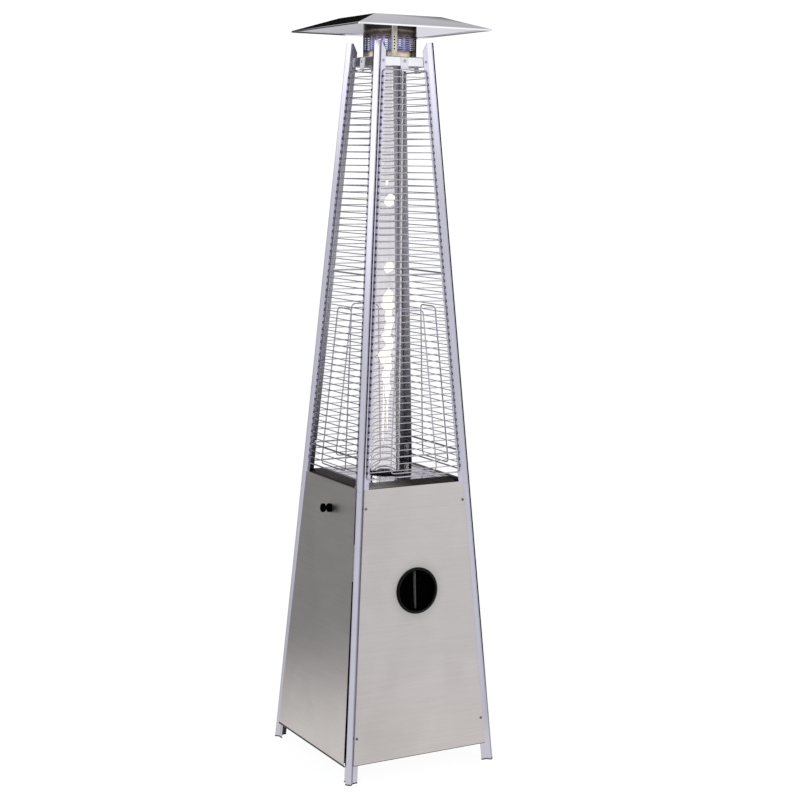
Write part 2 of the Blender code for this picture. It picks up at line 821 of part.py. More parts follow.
def make_door_fittings(shaders, door, door_empty):
    skin_outer = DOOR_AXIS_INSET + DOOR_SHEET
    ear_floor = door_height(DOOR_BOTTOM_Z) + DOOR_SHEET + GAP
    ear_gap = HINGE_SHEET / 2 + HINGE_NOTCH_CLEARANCE
    for end, side in HINGE_ENDS:
        centre = Matrix.Translation((side * HINGE_FROM_CENTRE, 0, 0)) @ TURN_TO_X
        half = HINGE_PIN_LENGTH / 2
        bm = bmesh.new()
        cylinder(bm, HINGE_PIN_R, -half, half, ROD_SIDES, centre)
        add_object("door_hinge_pin_" + end, bm, shaders["zinc_steel"], parent=door_empty)
        half += CUT_OVERRUN
        drill = bmesh.new()
        cylinder(drill, HINGE_HOLE_R, -half, half, ROD_SIDES, centre)
        back, front = GAP - DOOR_AXIS_INSET, HINGE_EAR_HALF
        seat = back + CLEVIS_SEAT_SHEET
        ear_outer = ear_gap + HINGE_EAR_SHEET
        profile = [(ear_outer, back), (ear_outer, front), (ear_gap, front), (ear_gap, seat)]
        profile += [(-x, y) for x, y in profile[::-1]]
        bm = bmesh.new()
        outline = [Vector((side * HINGE_FROM_CENTRE + x, y, ear_floor)) for x, y in profile]
        extruded(bm, outline, (0, 0, HINGE_EAR_HALF - ear_floor))
        clevis = add_object("door_hinge_clevis_" + end, bm, shaders["zinc_steel"], parent=door_empty)
        boolean(clevis, helper("clevis_drill_" + end, drill, parent=door_empty), "DIFFERENCE")

    knob_height = door_height(DOOR_KNOB_Z)
    knob_frame = normal_frame(Matrix.Identity(4), DOOR_KNOB_SHIFT, skin_outer + GAP, knob_height)
    neck_start = DOOR_KNOB_BASE
    neck_end = neck_start + DOOR_KNOB_NECK
    cap_end = neck_end + DOOR_KNOB_CAP
    bore_depth = DOOR_KNOB_BASE
    bm = bmesh.new()
    profile = [
        (0, bore_depth),
        (SCREW_HOLE_R, bore_depth),
        (SCREW_HOLE_R, 0),
        (DOOR_KNOB_R - DOOR_KNOB_ROUND, 0),
        (DOOR_KNOB_R, DOOR_KNOB_ROUND),
        (DOOR_KNOB_R, neck_start - DOOR_KNOB_ROUND),
        (DOOR_KNOB_NECK_R + DOOR_KNOB_ROUND, neck_start + DOOR_KNOB_ROUND),
        (DOOR_KNOB_NECK_R, (neck_start + neck_end) / 2),
        (DOOR_KNOB_NECK_R + DOOR_KNOB_ROUND, neck_end - DOOR_KNOB_ROUND),
        (DOOR_KNOB_R, neck_end + DOOR_KNOB_ROUND),
        (DOOR_KNOB_R, cap_end - DOOR_KNOB_ROUND),
        (DOOR_KNOB_R - DOOR_KNOB_ROUND, cap_end),
        (0, cap_end),
    ]
    turned(bm, profile, DOOR_KNOB_SIDES, knob_frame)
    add_object("door_knob", bm, shaders["black_plastic"], parent=door_empty, smooth_angle=SMOOTH)
    turned_back = Matrix.Rotation(math.pi, 4, "X")
    back = knob_frame @ Matrix.Translation((0, 0, -DOOR_SHEET - GAP * 2)) @ turned_back
    bm = bmesh.new()
    add_screw(bm, back, 0, bore_depth + DOOR_SHEET + GAP)
    add_object("door_knob_screw", bm, shaders["zinc_steel"], parent=door_empty, smooth_angle=SMOOTH)
    bm = bmesh.new()
    add_drill(bm, knob_frame, SCREW_HOLE_R, DOOR_SHEET + CUT_OVERRUN)
    boolean(door, helper("door_knob_drill", bm, parent=door_empty), "DIFFERENCE")

    magnet_z = header_z() + HEADER_HEIGHT / 2
    strike_inner = -DOOR_AXIS_INSET + GAP
    bm = bmesh.new()
    height = door_height(magnet_z)
    low = (-STRIKE_WIDTH / 2, strike_inner, height - STRIKE_HEIGHT / 2)
    box(bm, low, (STRIKE_WIDTH / 2, strike_inner + STRIKE_SHEET, height + STRIKE_HEIGHT / 2))
    add_object("door_strike", bm, shaders["zinc_steel"], parent=door_empty)


def header_z():
    """Foot of the rail above the door opening."""
    return SPLIT_Z - HEADER_DROP - HEADER_HEIGHT


def tongue_reach():
    """Distance from the hinge axis to the tip of a bracket's tongue, just short of the clevis's seat."""
    return DOOR_AXIS_INSET - GAP - CLEVIS_SEAT_SHEET - GAP


def make_door_frame(shaders, left_empty):
    """Header rail, magnet catch and hinge brackets that stay on the body."""
    bm = bmesh.new()
    head_z = header_z() + HEADER_HEIGHT
    trapezoid(bm, NOSE_ROOT, header_z(), head_z, -RIM_OUTSET, TRAY_SHEET)
    add_object("door_header", bm, shaders["zinc_steel"], parent=left_empty)

    magnet_z = header_z() + HEADER_HEIGHT / 2
    back = RIM_OUTSET - GAP
    bm = bmesh.new()
    height = along(magnet_z)
    strike_out = door_skin_out(magnet_z) - GAP - STRIKE_SHEET
    low = (-MAGNET_WIDTH / 2, GAP - strike_out, height - MAGNET_HEIGHT / 2)
    box(bm, low, (MAGNET_WIDTH / 2, back, height + MAGNET_HEIGHT / 2))
    add_object("magnet_catch", bm, shaders["black_plastic"], parent=left_empty)

    axis_height = along(door_axis_z())
    for end, side in HINGE_ENDS:
        bm, cut = bmesh.new(), bmesh.new()
        centre = side * HINGE_FROM_CENTRE
        half = HINGE_SHEET / 2
        tip = -door_axis_out() - tongue_reach()
        leg_outer, leg_inner = RIM_OUTSET - GAP - HINGE_SHEET, RIM_OUTSET - GAP
        outline = [
            (centre - half, tip),
            (centre + half, tip),
            (centre + half, leg_outer),
            (centre + HINGE_LEG_WIDTH / 2, leg_outer),
            (centre + HINGE_LEG_WIDTH / 2, leg_inner),
            (centre - HINGE_LEG_WIDTH / 2, leg_inner),
            (centre - HINGE_LEG_WIDTH / 2, leg_outer),
            (centre - half, leg_outer),
        ]
        floor = axis_height - tongue_reach()
        outline = [Vector((x, y, floor)) for x, y in outline]
        extruded(bm, outline, (0, 0, HINGE_LEG_HEIGHT + tongue_reach()))
        across = Matrix.Translation((centre, -door_axis_out(), axis_height)) @ TURN_TO_X
        run = half + CUT_OVERRUN
        cylinder(cut, HINGE_HOLE_R, run, -run, ROD_SIDES, across)
        chamfer = tongue_reach() * HINGE_CHAMFER_SHARE + CUT_OVERRUN
        outside, under = tip - CUT_OVERRUN, floor - CUT_OVERRUN
        corner = [(outside, under), (outside, floor + chamfer), (tip + chamfer, under)]
        extruded(cut, [Vector((centre - run, y, z)) for y, z in corner], (2 * run, 0, 0))
        bracket = add_object("door_hinge_bracket_" + end, bm, shaders["zinc_steel"], parent=left_empty)
        boolean(bracket, helper("bracket_cut_" + end, cut, parent=left_empty), "DIFFERENCE")


# Control


def make_control(shaders, control_empty, panel):
    """Pieces on the control's frame, whose Z looks out of the front panel."""
    seat = PANEL_OUTER + GAP
    bm = bmesh.new()
    profile = [
        (BEZEL_R, seat),
        (BEZEL_R, seat + BEZEL_HEIGHT / 2),
        (BEZEL_FLAT_R, seat + BEZEL_HEIGHT),
        (BEZEL_LIP_R, seat + BEZEL_LIP_HEIGHT),
        (BEZEL_MOUTH_R, seat + BEZEL_HEIGHT),
        (BEZEL_MOUTH_R, seat),
    ]
    turned(bm, profile, CONTROL_SIDES)
    add_object("control_bezel", bm, shaders["black_plastic"], parent=control_empty, smooth_angle=SMOOTH)

    mouth = PANEL_OUTER
    bm = bmesh.new()
    profile = [
        (CUP_R, mouth),
        (CUP_R, -CUP_DEPTH),
        (CUP_HOLE_R, -CUP_DEPTH),
        (CUP_HOLE_R, CUP_WALL - CUP_DEPTH),
        (CUP_R - CUP_WALL, CUP_WALL - CUP_DEPTH),
        (CUP_R - CUP_WALL, mouth),
    ]
    turned(bm, profile, CONTROL_SIDES)
    add_object("control_cup", bm, shaders["black_plastic"], parent=control_empty, smooth_angle=SMOOTH)
    bm = bmesh.new()
    bore = CUP_R + GAP
    cylinder(bm, bore, -CUT_OVERRUN, mouth + CUT_OVERRUN, CONTROL_SIDES)
    boolean(panel, helper("control_opening", bm, parent=control_empty), "DIFFERENCE")

    face = -KNOB_FACE_DEPTH
    disc_back = face - KNOB_DISC
    hub_back = disc_back - KNOB_HUB
    bore_end = hub_back + KNOB_BORE_DEPTH
    bm = bmesh.new()
    profile = [
        (0, face),
        (KNOB_R, face),
        (KNOB_R, disc_back),
        (KNOB_HUB_R, disc_back),
        (KNOB_HUB_R, hub_back),
        (KNOB_BORE_R, hub_back),
        (KNOB_BORE_R, bore_end),
        (0, bore_end),
    ]
    turned(bm, profile, CONTROL_SIDES)
    add_object("control_knob", bm, shaders["black_plastic"], parent=control_empty, smooth_angle=SMOOTH)

    reach = KNOB_R - BLADE_END_INSET
    bm = bmesh.new()
    outline = []
    for y, width in ((-reach, BLADE_FOOT_WIDTH), (reach, BLADE_HEAD_WIDTH)):
        pair = [(-width / 2, y), (width / 2, y)]
        outline += pair if y < 0 else pair[::-1]
    extruded(bm, [Vector((x, y, face + GAP)) for x, y in outline], (0, 0, BLADE_HEIGHT))
    add_object("knob_grip_bar", bm, shaders["grip_plastic"], parent=control_empty)

    spindle_front = bore_end - SPINDLE_SEAT
    valve_front = -CUP_DEPTH - GAP - BRACKET_SHEET - GAP
    spindle_back = valve_front - SPINDLE_REACH
    bm = bmesh.new()
    cylinder(bm, SPINDLE_R, spindle_back, spindle_front, ROD_SIDES)
    add_object("valve_spindle", bm, shaders["brass"], parent=control_empty, smooth_angle=SMOOTH)
    make_valve(shaders, control_empty, valve_front, spindle_back)


def make_valve(shaders, control_empty, valve_front, spindle_back):
    plate_back = valve_front + GAP
    plate_front = plate_back + BRACKET_SHEET
    foot_front = 0.0
    bm = bmesh.new()
    profile = [
        (-BRACKET_HALF - BRACKET_FOOT, foot_front),
        (-BRACKET_HALF, foot_front),
        (-BRACKET_HALF, plate_front),
        (BRACKET_HALF, plate_front),
        (BRACKET_HALF, foot_front),
        (BRACKET_HALF + BRACKET_FOOT, foot_front),
        (BRACKET_HALF + BRACKET_FOOT, foot_front - BRACKET_SHEET),
        (BRACKET_HALF + BRACKET_SHEET, foot_front - BRACKET_SHEET),
        (BRACKET_HALF + BRACKET_SHEET, plate_back),
        (-BRACKET_HALF - BRACKET_SHEET, plate_back),
        (-BRACKET_HALF - BRACKET_SHEET, foot_front - BRACKET_SHEET),
        (-BRACKET_HALF - BRACKET_FOOT, foot_front - BRACKET_SHEET),
    ]
    outline = [Vector((x, -BRACKET_HEIGHT / 2, out)) for x, out in profile]
    extruded(bm, outline, (0, BRACKET_HEIGHT, 0))
    bracket = add_object("valve_bracket", bm, shaders["zinc_steel"], parent=control_empty)
    bm = bmesh.new()
    low, high = plate_back - CUT_OVERRUN, plate_front + CUT_OVERRUN
    cylinder(bm, CUP_HOLE_R, low, high, ROD_SIDES * 2)
    boolean(bracket, helper("bracket_bore", bm, parent=control_empty), "DIFFERENCE")

    bm = bmesh.new()
    low = (-VALVE_WIDTH / 2, -VALVE_HEIGHT / 2, valve_front - VALVE_DEPTH)
    box(bm, low, (VALVE_WIDTH / 2, VALVE_HEIGHT / 2, valve_front))
    valve = add_object("gas_valve", bm, shaders["zinc_steel"], parent=control_empty)
    bm = bmesh.new()
    bore = SPINDLE_R + SPINDLE_PLAY
    low, high = spindle_back - PUSH_TRAVEL - CUT_OVERRUN, valve_front + CUT_OVERRUN
    cylinder(bm, bore, low, high, ROD_SIDES * 2)
    boolean(valve, helper("valve_bore", bm, parent=control_empty), "DIFFERENCE")

    mid = valve_front - VALVE_DEPTH / 2
    down = Matrix.Translation((0, -VALVE_HEIGHT / 2 - GAP, mid)) @ Matrix.Rotation(math.pi / 2, 4, "X")
    bm = bmesh.new()
    profile = [
        (0, 0),
        (INLET_NUT_R, 0),
        (INLET_NUT_R, INLET_NUT),
        (INLET_BARB_R, INLET_NUT),
        (INLET_BARB_R, INLET_NUT + INLET_BARB),
        (0, INLET_NUT + INLET_BARB),
    ]
    turned(bm, profile, BAR_SIDES, down)
    add_object("gas_inlet", bm, shaders["brass"], parent=control_empty)


def control_frame():
    return normal_frame(face_frame(0), 0, 0, along(CONTROL_Z))


# Burner


def burner_floor_z():
    return HEARTH_Z - TRAY_SHEET - GAP - BURNER_CUP_DEPTH


def injector_foot_z():
    return burner_floor_z() - GAP - VENTURI_LENGTH - GAP - INJECTOR_LENGTH


def make_burner_tray(shaders, hearth_plate):
    """Plate under the hearth with a round well for the burner."""
    top = HEARTH_Z - TRAY_SHEET - GAP
    floor = burner_floor_z()
    sheet = BURNER_CUP_SHEET
    bm = bmesh.new()
    half = BURNER_TRAY_HALF
    box(bm, (-half, -half, top - sheet), (half, half, top))
    burner_tray = add_object("burner_tray", bm, shaders["zinc_steel"])
    bm = bmesh.new()
    middle = top - sheet / 2
    cylinder(bm, BURNER_CUP_R, floor, middle, TUBE_SIDES)
    boolean(burner_tray, helper("burner_well", bm), "UNION")
    bm = bmesh.new()
    bore = BURNER_CUP_R - sheet
    low, high = floor + sheet, top + CUT_OVERRUN
    cylinder(bm, bore, low, high, TUBE_SIDES)
    boolean(burner_tray, helper("burner_well_bore", bm), "DIFFERENCE")
    spots = [Matrix.Translation(corner) for corner in square_ring(half - BURNER_SCREW_EDGE, HEARTH_Z)]
    fasten("burner", hearth_plate, [burner_tray], spots, TRAY_SHEET, TRAY_SHEET + GAP)


def make_burner(shaders):
    floor = burner_floor_z()
    sheet = BURNER_CUP_SHEET
    top = HEARTH_Z + BURNER_HEAD_RISE
    stem_foot = floor + sheet + GAP
    bm = bmesh.new()
    profile = [
        (0, top),
        (BURNER_CROWN_R, top),
        (BURNER_HEAD_R, top - BURNER_RIM),
        (BURNER_HEAD_R, top - BURNER_DISC),
        (BURNER_STEM_R, top - BURNER_DISC),
        (BURNER_STEM_R, stem_foot),
        (0, stem_foot),
    ]
    turned(bm, profile, TUBE_SIDES)
    add_object("burner_head", bm, shaders["black_iron"], smooth_angle=SMOOTH)

    venturi_top = floor - GAP
    venturi_foot = venturi_top - VENTURI_LENGTH
    bm = bmesh.new()
    profile = [
        (VENTURI_R, venturi_top),
        (VENTURI_R, venturi_foot),
        (VENTURI_BORE_R, venturi_foot),
        (VENTURI_BORE_R, venturi_top),
    ]
    turned(bm, profile, TUBE_SIDES // 2)
    add_object("venturi_tube", bm, shaders["zinc_steel"], smooth_angle=SMOOTH)

    shoulder = venturi_foot - GAP
    bm = bmesh.new()
    profile = [
        (0, shoulder + INJECTOR_NOSE),
        (INJECTOR_NOSE_R, shoulder + INJECTOR_NOSE),
        (INJECTOR_NOSE_R, shoulder),
        (INJECTOR_R, shoulder),
        (INJECTOR_R, injector_foot_z()),
        (0, injector_foot_z()),
    ]
    turned(bm, profile, BAR_SIDES)
    add_object("injector", bm, shaders["brass"])

    rod_foot = floor + sheet + GAP
    for name, angle, radius, tip, finish in (
        ("pilot_tube", 0.0, PILOT_R, HEARTH_Z + PILOT_RISE, "brass"),
        ("thermocouple", math.radians(120), THERMOCOUPLE_R, HEARTH_Z + ROD_TIP_RISE, "zinc_steel"),
    ):
        spot = Matrix.Translation((ROD_FROM_AXIS * math.cos(angle), ROD_FROM_AXIS * math.sin(angle), 0))
        bm = bmesh.new()
        cylinder(bm, radius, rod_foot, tip, ROD_SIDES, spot)
        add_object(name, bm, shaders[finish], smooth_angle=SMOOTH)
    angle = math.radians(240)
    spot = Matrix.Translation((ROD_FROM_AXIS * math.cos(angle), ROD_FROM_AXIS * math.sin(angle), 0))
    ceramic_top = rod_foot + CERAMIC_HEIGHT
    bm = bmesh.new()
    cylinder(bm, CERAMIC_R, rod_foot, ceramic_top, ROD_SIDES, spot)
    add_object("electrode_ceramic", bm, shaders["ceramic"], smooth_angle=SMOOTH)
    tip = HEARTH_Z + ROD_TIP_RISE
    foot = ceramic_top + GAP
    bm = bmesh.new()
    cylinder(bm, ELECTRODE_R, foot, tip, ROD_SIDES, spot)
    add_object("igniter_electrode", bm, shaders["zinc_steel"], smooth_angle=SMOOTH)


def make_pipe(shaders):
    """Rigid gas pipe from the valve's top to the injector's foot."""
    frame = control_frame()
    valve_mid = -CUP_DEPTH - GAP - BRACKET_SHEET - GAP - VALVE_DEPTH / 2
    start = frame @ Vector((0, VALVE_HEIGHT / 2 + GAP, valve_mid))
    run_z = injector_foot_z() - GAP - PIPE_END_RUN
    up_the_face = frame.to_3x3() @ Vector((0, 1, 0))
    first = start + up_the_face * (run_z - start.z) / up_the_face.z
    second = Vector((0, 0, run_z))
    end = Vector((0, 0, injector_foot_z() - GAP))
    bm = bmesh.new()
    rod(bm, filleted([start, first, second, end], PIPE_BEND, BEND_STEPS), PIPE_R, PIPE_SIDES)
    add_object("gas_pipe", bm, shaders["brass"], smooth_angle=SMOOTH)


def make_tilt_switch(shaders):
    floor = base_tray_z() + TRAY_SHEET + GAP
    edge = face_half(floor) - RIM_OUTSET - TRAY_SHEET - TILT_SWITCH_INSET
    bm = bmesh.new()
    low = (edge - TILT_SWITCH_WIDTH, -edge, floor)
    box(bm, low, (edge, TILT_SWITCH_DEPTH - edge, floor + TILT_SWITCH_HEIGHT))
    add_object("tilt_switch", bm, shaders["black_plastic"])


# Glass tube


def ring(bm, inner, outer, low, high, sides, taper=0.0):
    turned(bm, [(outer, low), (outer - taper, high), (inner, high), (inner, low)], sides)


def make_tube(shaders):
    seat = HEARTH_Z + GAP
    tube_foot = seat + GASKET_HEIGHT + GAP
    plate_under = TOP_PLATE_Z - TRAY_SHEET
    tube_bore = TUBE_R - TUBE_WALL
    bm = bmesh.new()
    ring(bm, tube_bore, TUBE_R, seat, seat + GASKET_HEIGHT, TUBE_SIDES)
    add_object("tube_gasket", bm, shaders["rubber"], smooth_angle=SMOOTH)
    bm = bmesh.new()
    ring(bm, tube_bore, TUBE_R, tube_foot, plate_under - TUBE_END_PLAY, TUBE_SIDES)
    add_object("glass_tube", bm, shaders["glass"], smooth_angle=SMOOTH)
    inner = TUBE_R + RING_CLEARANCE
    bm = bmesh.new()
    ring(bm, inner, inner + RING_WALL, seat, seat + BASE_RING_HEIGHT, TUBE_SIDES, RING_TAPER)
    add_object("tube_base_ring", bm, shaders["black_iron"], smooth_angle=SMOOTH)
    bm = bmesh.new()
    collar_top = plate_under - GAP
    ring(bm, inner, inner + RING_WALL, collar_top - COLLAR_HEIGHT, collar_top, TUBE_SIDES)
    add_object("tube_top_collar", bm, shaders["black_iron"], smooth_angle=SMOOTH)


# Flame screen and reflector


def make_screen(shaders):
    foot = TOP_PLATE_Z + GAP
    head = CROWN_Z - REFLECTOR_SHEET - GAP
    bm = bmesh.new()
    ring(bm, SCREEN_R - SCREEN_SHEET, SCREEN_R, foot, head, TUBE_SIDES)
    screen = add_object("flame_screen", bm, shaders["heat_steel"], smooth_angle=SMOOTH)

    seam_inner = SCREEN_R - SCREEN_SHEET / 2
    seam_outer = SCREEN_R + SEAM_SHEET
    angles = [SEAM_ANGLE + SEAM_HALF_ANGLE * (2 * i / SEAM_STEPS - 1) for i in range(SEAM_STEPS + 1)]
    outline = []
    for radius, way in ((seam_outer, 1), (seam_inner, -1)):
        for angle in angles[::way]:
            outline.append(polar(radius, angle, foot + SEAM_END_INSET))
    bm = bmesh.new()
    extruded(bm, outline, (0, 0, head - foot - SEAM_END_INSET * 2))
    boolean(screen, helper("screen_seam", bm), "UNION")


def make_reflector(shaders):
    sheet = REFLECTOR_SHEET
    pitch = REFLECTOR_DEPTH / (EAVE_HALF - CROWN_HALF)
    drop = sheet * math.hypot(1, pitch)
    levels = [
        (CROWN_HALF, CROWN_CORNER, CROWN_Z),
        (EAVE_HALF, EAVE_CORNER, EAVE_Z),
        (EAVE_HALF, EAVE_CORNER, EAVE_Z - EAVE_LIP),
        (EAVE_HALF - sheet, EAVE_CORNER, EAVE_Z - EAVE_LIP),
        (EAVE_HALF - sheet, EAVE_CORNER, EAVE_Z + sheet * pitch - drop),
        (CROWN_HALF - (drop - sheet) / pitch, CROWN_CORNER, CROWN_Z - sheet),
    ]
    bm = bmesh.new()
    loft(bm, [square_ring(half, z, cut) for half, cut, z in levels])
    reflector = add_object("reflector", bm, shaders["polished_steel"])

    ring_top = CROWN_Z - sheet - GAP
    bm = bmesh.new()
    outer = SCREEN_R - SCREEN_SHEET - CAP_RING_CLEARANCE
    ring(bm, CAP_RING_BORE_R, outer, ring_top - CAP_RING_SHEET, ring_top, TUBE_SIDES)
    cap_ring = add_object("screen_cap_ring", bm, shaders["heat_steel"])

    spots = []
    for i in range(REFLECTOR_SCREWS):
        angle = math.pi / 4 + 2 * math.pi * i / REFLECTOR_SCREWS
        around = Matrix.Rotation(angle, 4, "Z")
        spots.append(around @ Matrix.Translation((REFLECTOR_SCREW_R, 0, CROWN_Z)))
    fasten("reflector", reflector, [cap_ring], spots, sheet, sheet + GAP + CAP_RING_SHEET)


# Guards


def guard_bottom_z():
    return HEARTH_Z + GUARD_BOTTOM_RISE


def guard_top_z():
    return TOP_PLATE_Z - TOP_PLATE_RIM - GUARD_TOP_DROP


def guard_rows():
    return round((guard_top_z() - guard_bottom_z()) / GUARD_PITCH)


def guard_row_z(row):
    """Height of a cross wire, counted from the frame's bottom wire."""
    return guard_bottom_z() + (guard_top_z() - guard_bottom_z()) * row / guard_rows()


def guard_grille(bm):
    """Welded grille on a face's frame: a frame wire round rows of thin wires, one closed body."""
    frame = GUARD_FRAME_WIRE
    rows = guard_rows()
    bands = []
    for i in range(rows + 1):
        half = frame / 2 if i in (0, rows) else GUARD_WIRE / 2
        centre = along(guard_row_z(i))
        bands.append((centre - half, centre + half))
    front, back = -GAP - frame, -GAP
    levels = [edge for band in bands for edge in band]

    def columns(height, trim):
        outer = face_half(height * math.cos(LEAN)) - GUARD_EDGE
        inner = outer - frame
        return (trim - outer, -inner, inner, outer - trim)

    grid = {}
    last = len(levels) - 1
    for row, height in enumerate(levels):
        trim = GUARD_CORNER if row in (0, last) else 0
        for column, x in enumerate(columns(height, trim)):
            for layer, y in enumerate((front, back)):
                grid[row, column, layer] = bm.verts.new((x, y, height))
    for row in range(last):
        solid_columns = (0, 1, 2) if row % 2 == 0 else (0, 2)
        for layer in (0, 1):
            for column in solid_columns:
                corners = ((row, column), (row, column + 1), (row + 1, column + 1), (row + 1, column))
                bm.faces.new([grid[r, c, layer] for r, c in corners])
        walls = (0, 3) if row % 2 == 0 else (0, 1, 2, 3)
        for column in walls:
            corners = ((row, 0), (row + 1, 0), (row + 1, 1), (row, 1))
            bm.faces.new([grid[r, column, layer] for r, layer in corners])
    for row in range(last + 1):
        open_columns = (0, 1, 2) if row in (0, last) else (1,)
        for column in open_columns:
            corners = ((column, 0), (column + 1, 0), (column + 1, 1), (column, 1))
            bm.faces.new([grid[row, c, layer] for c, layer in corners])


def guard_bars(bm):
    """Two cross bars welded to the back of two of the thin wires."""
    depth = BAR_R - GAP - WELD_DEPTH
    for row in (LOWER_BAR_ROW, UPPER_BAR_ROW):
        z = guard_row_z(row)
        reach = face_half(z) - FLANGE_END + NOTCH_DEPTH - BAR_END_PLAY
        rod(bm, [(-reach, depth, along(z)), (reach, depth, along(z))], BAR_R, BAR_SIDES)


def guard_loop(bm):
    """Closed loop of wire behind the thin wires, welded across the lower bar."""
    foot, head = along(guard_bottom_z() + LOOP_FOOT_RISE), along(guard_bottom_z() + LOOP_HEAD_RISE)
    depth = LOOP_R / math.sqrt(2)
    corners = [
        (-LOOP_FOOT_HALF, depth, foot),
        (-LOOP_HEAD_HALF, depth, head),
        (LOOP_HEAD_HALF, depth, head),
        (LOOP_FOOT_HALF, depth, foot),
    ]
    rod(bm, filleted(corners, LOOP_BEND, BEND_STEPS, closed=True), LOOP_R, LOOP_SIDES, closed=True)


def guard_notches(bm):
    """Cuts in the flanges that the cross bars' ends reach into."""
    for row in (LOWER_BAR_ROW, UPPER_BAR_ROW):
        z = guard_row_z(row)
        edge = face_half(z) - FLANGE_END
        for side in (-1, 1):
            near, far = side * (edge - CUT_OVERRUN), side * (edge + NOTCH_DEPTH)
            low = (min(near, far), -CUT_OVERRUN, along(z) - NOTCH_HALF)
            box(bm, low, (max(near, far), POST_SHEET + CUT_OVERRUN, along(z) + NOTCH_HALF))


def make_guards(shaders, face_empties, posts):
    for index, face in enumerate(FACES):
        bm = bmesh.new()
        guard_grille(bm)
        guard = add_object("guard_" + face, bm, shaders["chrome_wire"], parent=face_empties[index])
        for name, make in (("guard_bars_", guard_bars), ("guard_loop_", guard_loop)):
            bm = bmesh.new()
            make(bm)
            boolean(guard, helper(name + face, bm, parent=face_empties[index]), "UNION")
        bm = bmesh.new()
        guard_notches(bm)
        guide = helper("guard_notches_" + face, bm, parent=face_empties[index])
        for corner in (index, (index + 1) % len(FACES)):
            boolean(posts["upper", corner], guide, "DIFFERENCE")


def make_hooks(top_plate):
    """Sheet hooks fixed to the top plate's rim that hold the guards' top wires."""
    hooks, screws = bmesh.new(), bmesh.new()
    wire = along(guard_top_z())
    head = along(TOP_PLATE_Z - HOOK_HEAD_DROP)
    back = RIM_OUTSET + TRAY_SHEET / 2
    front = RIM_OUTSET - HOOK_SHEET
    sill = wire - GUARD_FRAME_WIRE / 2 - GAP
    nose_back = -GAP - GUARD_FRAME_WIRE - GAP
    foot = sill - HOOK_SHEET
    for index in range(len(FACES)):
        frame = face_frame(index)
        profile = [
            (back, head),
            (back, foot),
            (nose_back - HOOK_SHEET, foot),
            (nose_back - HOOK_SHEET, sill + HOOK_LIP),
            (nose_back, sill + HOOK_LIP),
            (nose_back, sill),
            (front, sill),
            (front, head),
        ]
        outline = [frame @ Vector((-HOOK_WIDTH / 2, y, z)) for y, z in profile]
        extruded(hooks, outline, frame.to_3x3() @ Vector((HOOK_WIDTH, 0, 0)))
        spot = normal_frame(frame, 0, -front, along(TOP_SCREW_Z))
        add_screw(screws, spot, HOOK_SHEET, SCREW_REACH)
    boolean(top_plate, helper("hooks", hooks), "UNION")
    boolean(top_plate, helper("hook_screws", screws), "UNION")


# Assembly


def main():
    for item in list(bpy.data.objects):
        bpy.data.objects.remove(item, do_unlink=True)
    shaders = make_materials()
    face_empties = [add_empty("face_" + face, face_frame(index)) for index, face in enumerate(FACES)]
    control_empty = add_empty("control_axis", control_frame())
    door_seat = Matrix.Translation((0, -door_axis_out(), along(door_axis_z())))
    door_frame = face_frame(FACES.index("left")) @ door_seat @ Matrix.Rotation(-door_tilt(), 4, "X")
    door_empty = add_empty("door_axis", door_frame)

    posts = make_posts(shaders)
    make_feet(shaders)
    hearth_plate, top_plate = make_trays(shaders)
    panels = make_panels(shaders, face_empties)
    fix_panels(posts, panels)
    fix_top_plate(posts, top_plate)
    door = make_door(shaders, door_empty)
    make_door_fittings(shaders, door, door_empty)
    make_door_frame(shaders, face_empties[FACES.index("left")])
    make_control(shaders, control_empty, panels[0])
    make_burner_tray(shaders, hearth_plate)
    make_burner(shaders)
    make_pipe(shaders)
    make_tilt_switch(shaders)
    make_tube(shaders)
    make_screen(shaders)
    make_reflector(shaders)
    make_guards(shaders, face_empties, posts)
    make_hooks(top_plate)
    bpy.context.view_layer.update()


main()
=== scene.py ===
"""Looks of the glass tube patio heater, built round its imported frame.

All places are in metres in the frame's own axes: the front looks along -Y, the door is on the -X
side, and the origin is on the floor at the centre of the base.
"""

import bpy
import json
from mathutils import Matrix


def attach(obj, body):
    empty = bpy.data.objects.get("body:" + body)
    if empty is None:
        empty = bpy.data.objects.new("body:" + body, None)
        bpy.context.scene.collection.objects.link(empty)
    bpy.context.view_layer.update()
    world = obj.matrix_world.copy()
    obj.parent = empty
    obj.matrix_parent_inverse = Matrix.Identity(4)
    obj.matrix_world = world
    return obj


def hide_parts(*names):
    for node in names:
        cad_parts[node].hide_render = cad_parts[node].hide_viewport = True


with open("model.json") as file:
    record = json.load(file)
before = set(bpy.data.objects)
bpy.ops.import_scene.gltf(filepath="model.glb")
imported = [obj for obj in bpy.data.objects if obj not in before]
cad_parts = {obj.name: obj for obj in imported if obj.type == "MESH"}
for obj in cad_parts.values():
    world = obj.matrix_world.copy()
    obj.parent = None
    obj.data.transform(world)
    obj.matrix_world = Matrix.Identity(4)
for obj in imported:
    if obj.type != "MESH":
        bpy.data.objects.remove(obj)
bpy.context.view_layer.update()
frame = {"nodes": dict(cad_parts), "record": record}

import json
import math

import bmesh
import bpy
from mathutils import Matrix, Vector, noise

# Camera, fitted to the corner posts' edges in the photograph
CAMERA_PLACE = (-2.497, -4.537, 1.839)
CAMERA_PITCH = -0.1394
CAMERA_ROLL = -0.0124
CAMERA_YAW = -0.5116
CAMERA_FOCAL_PIXELS = 1695
CAMERA_FAR = 100
PHOTO_PIXELS = 800
SENSOR_MM = 36.0

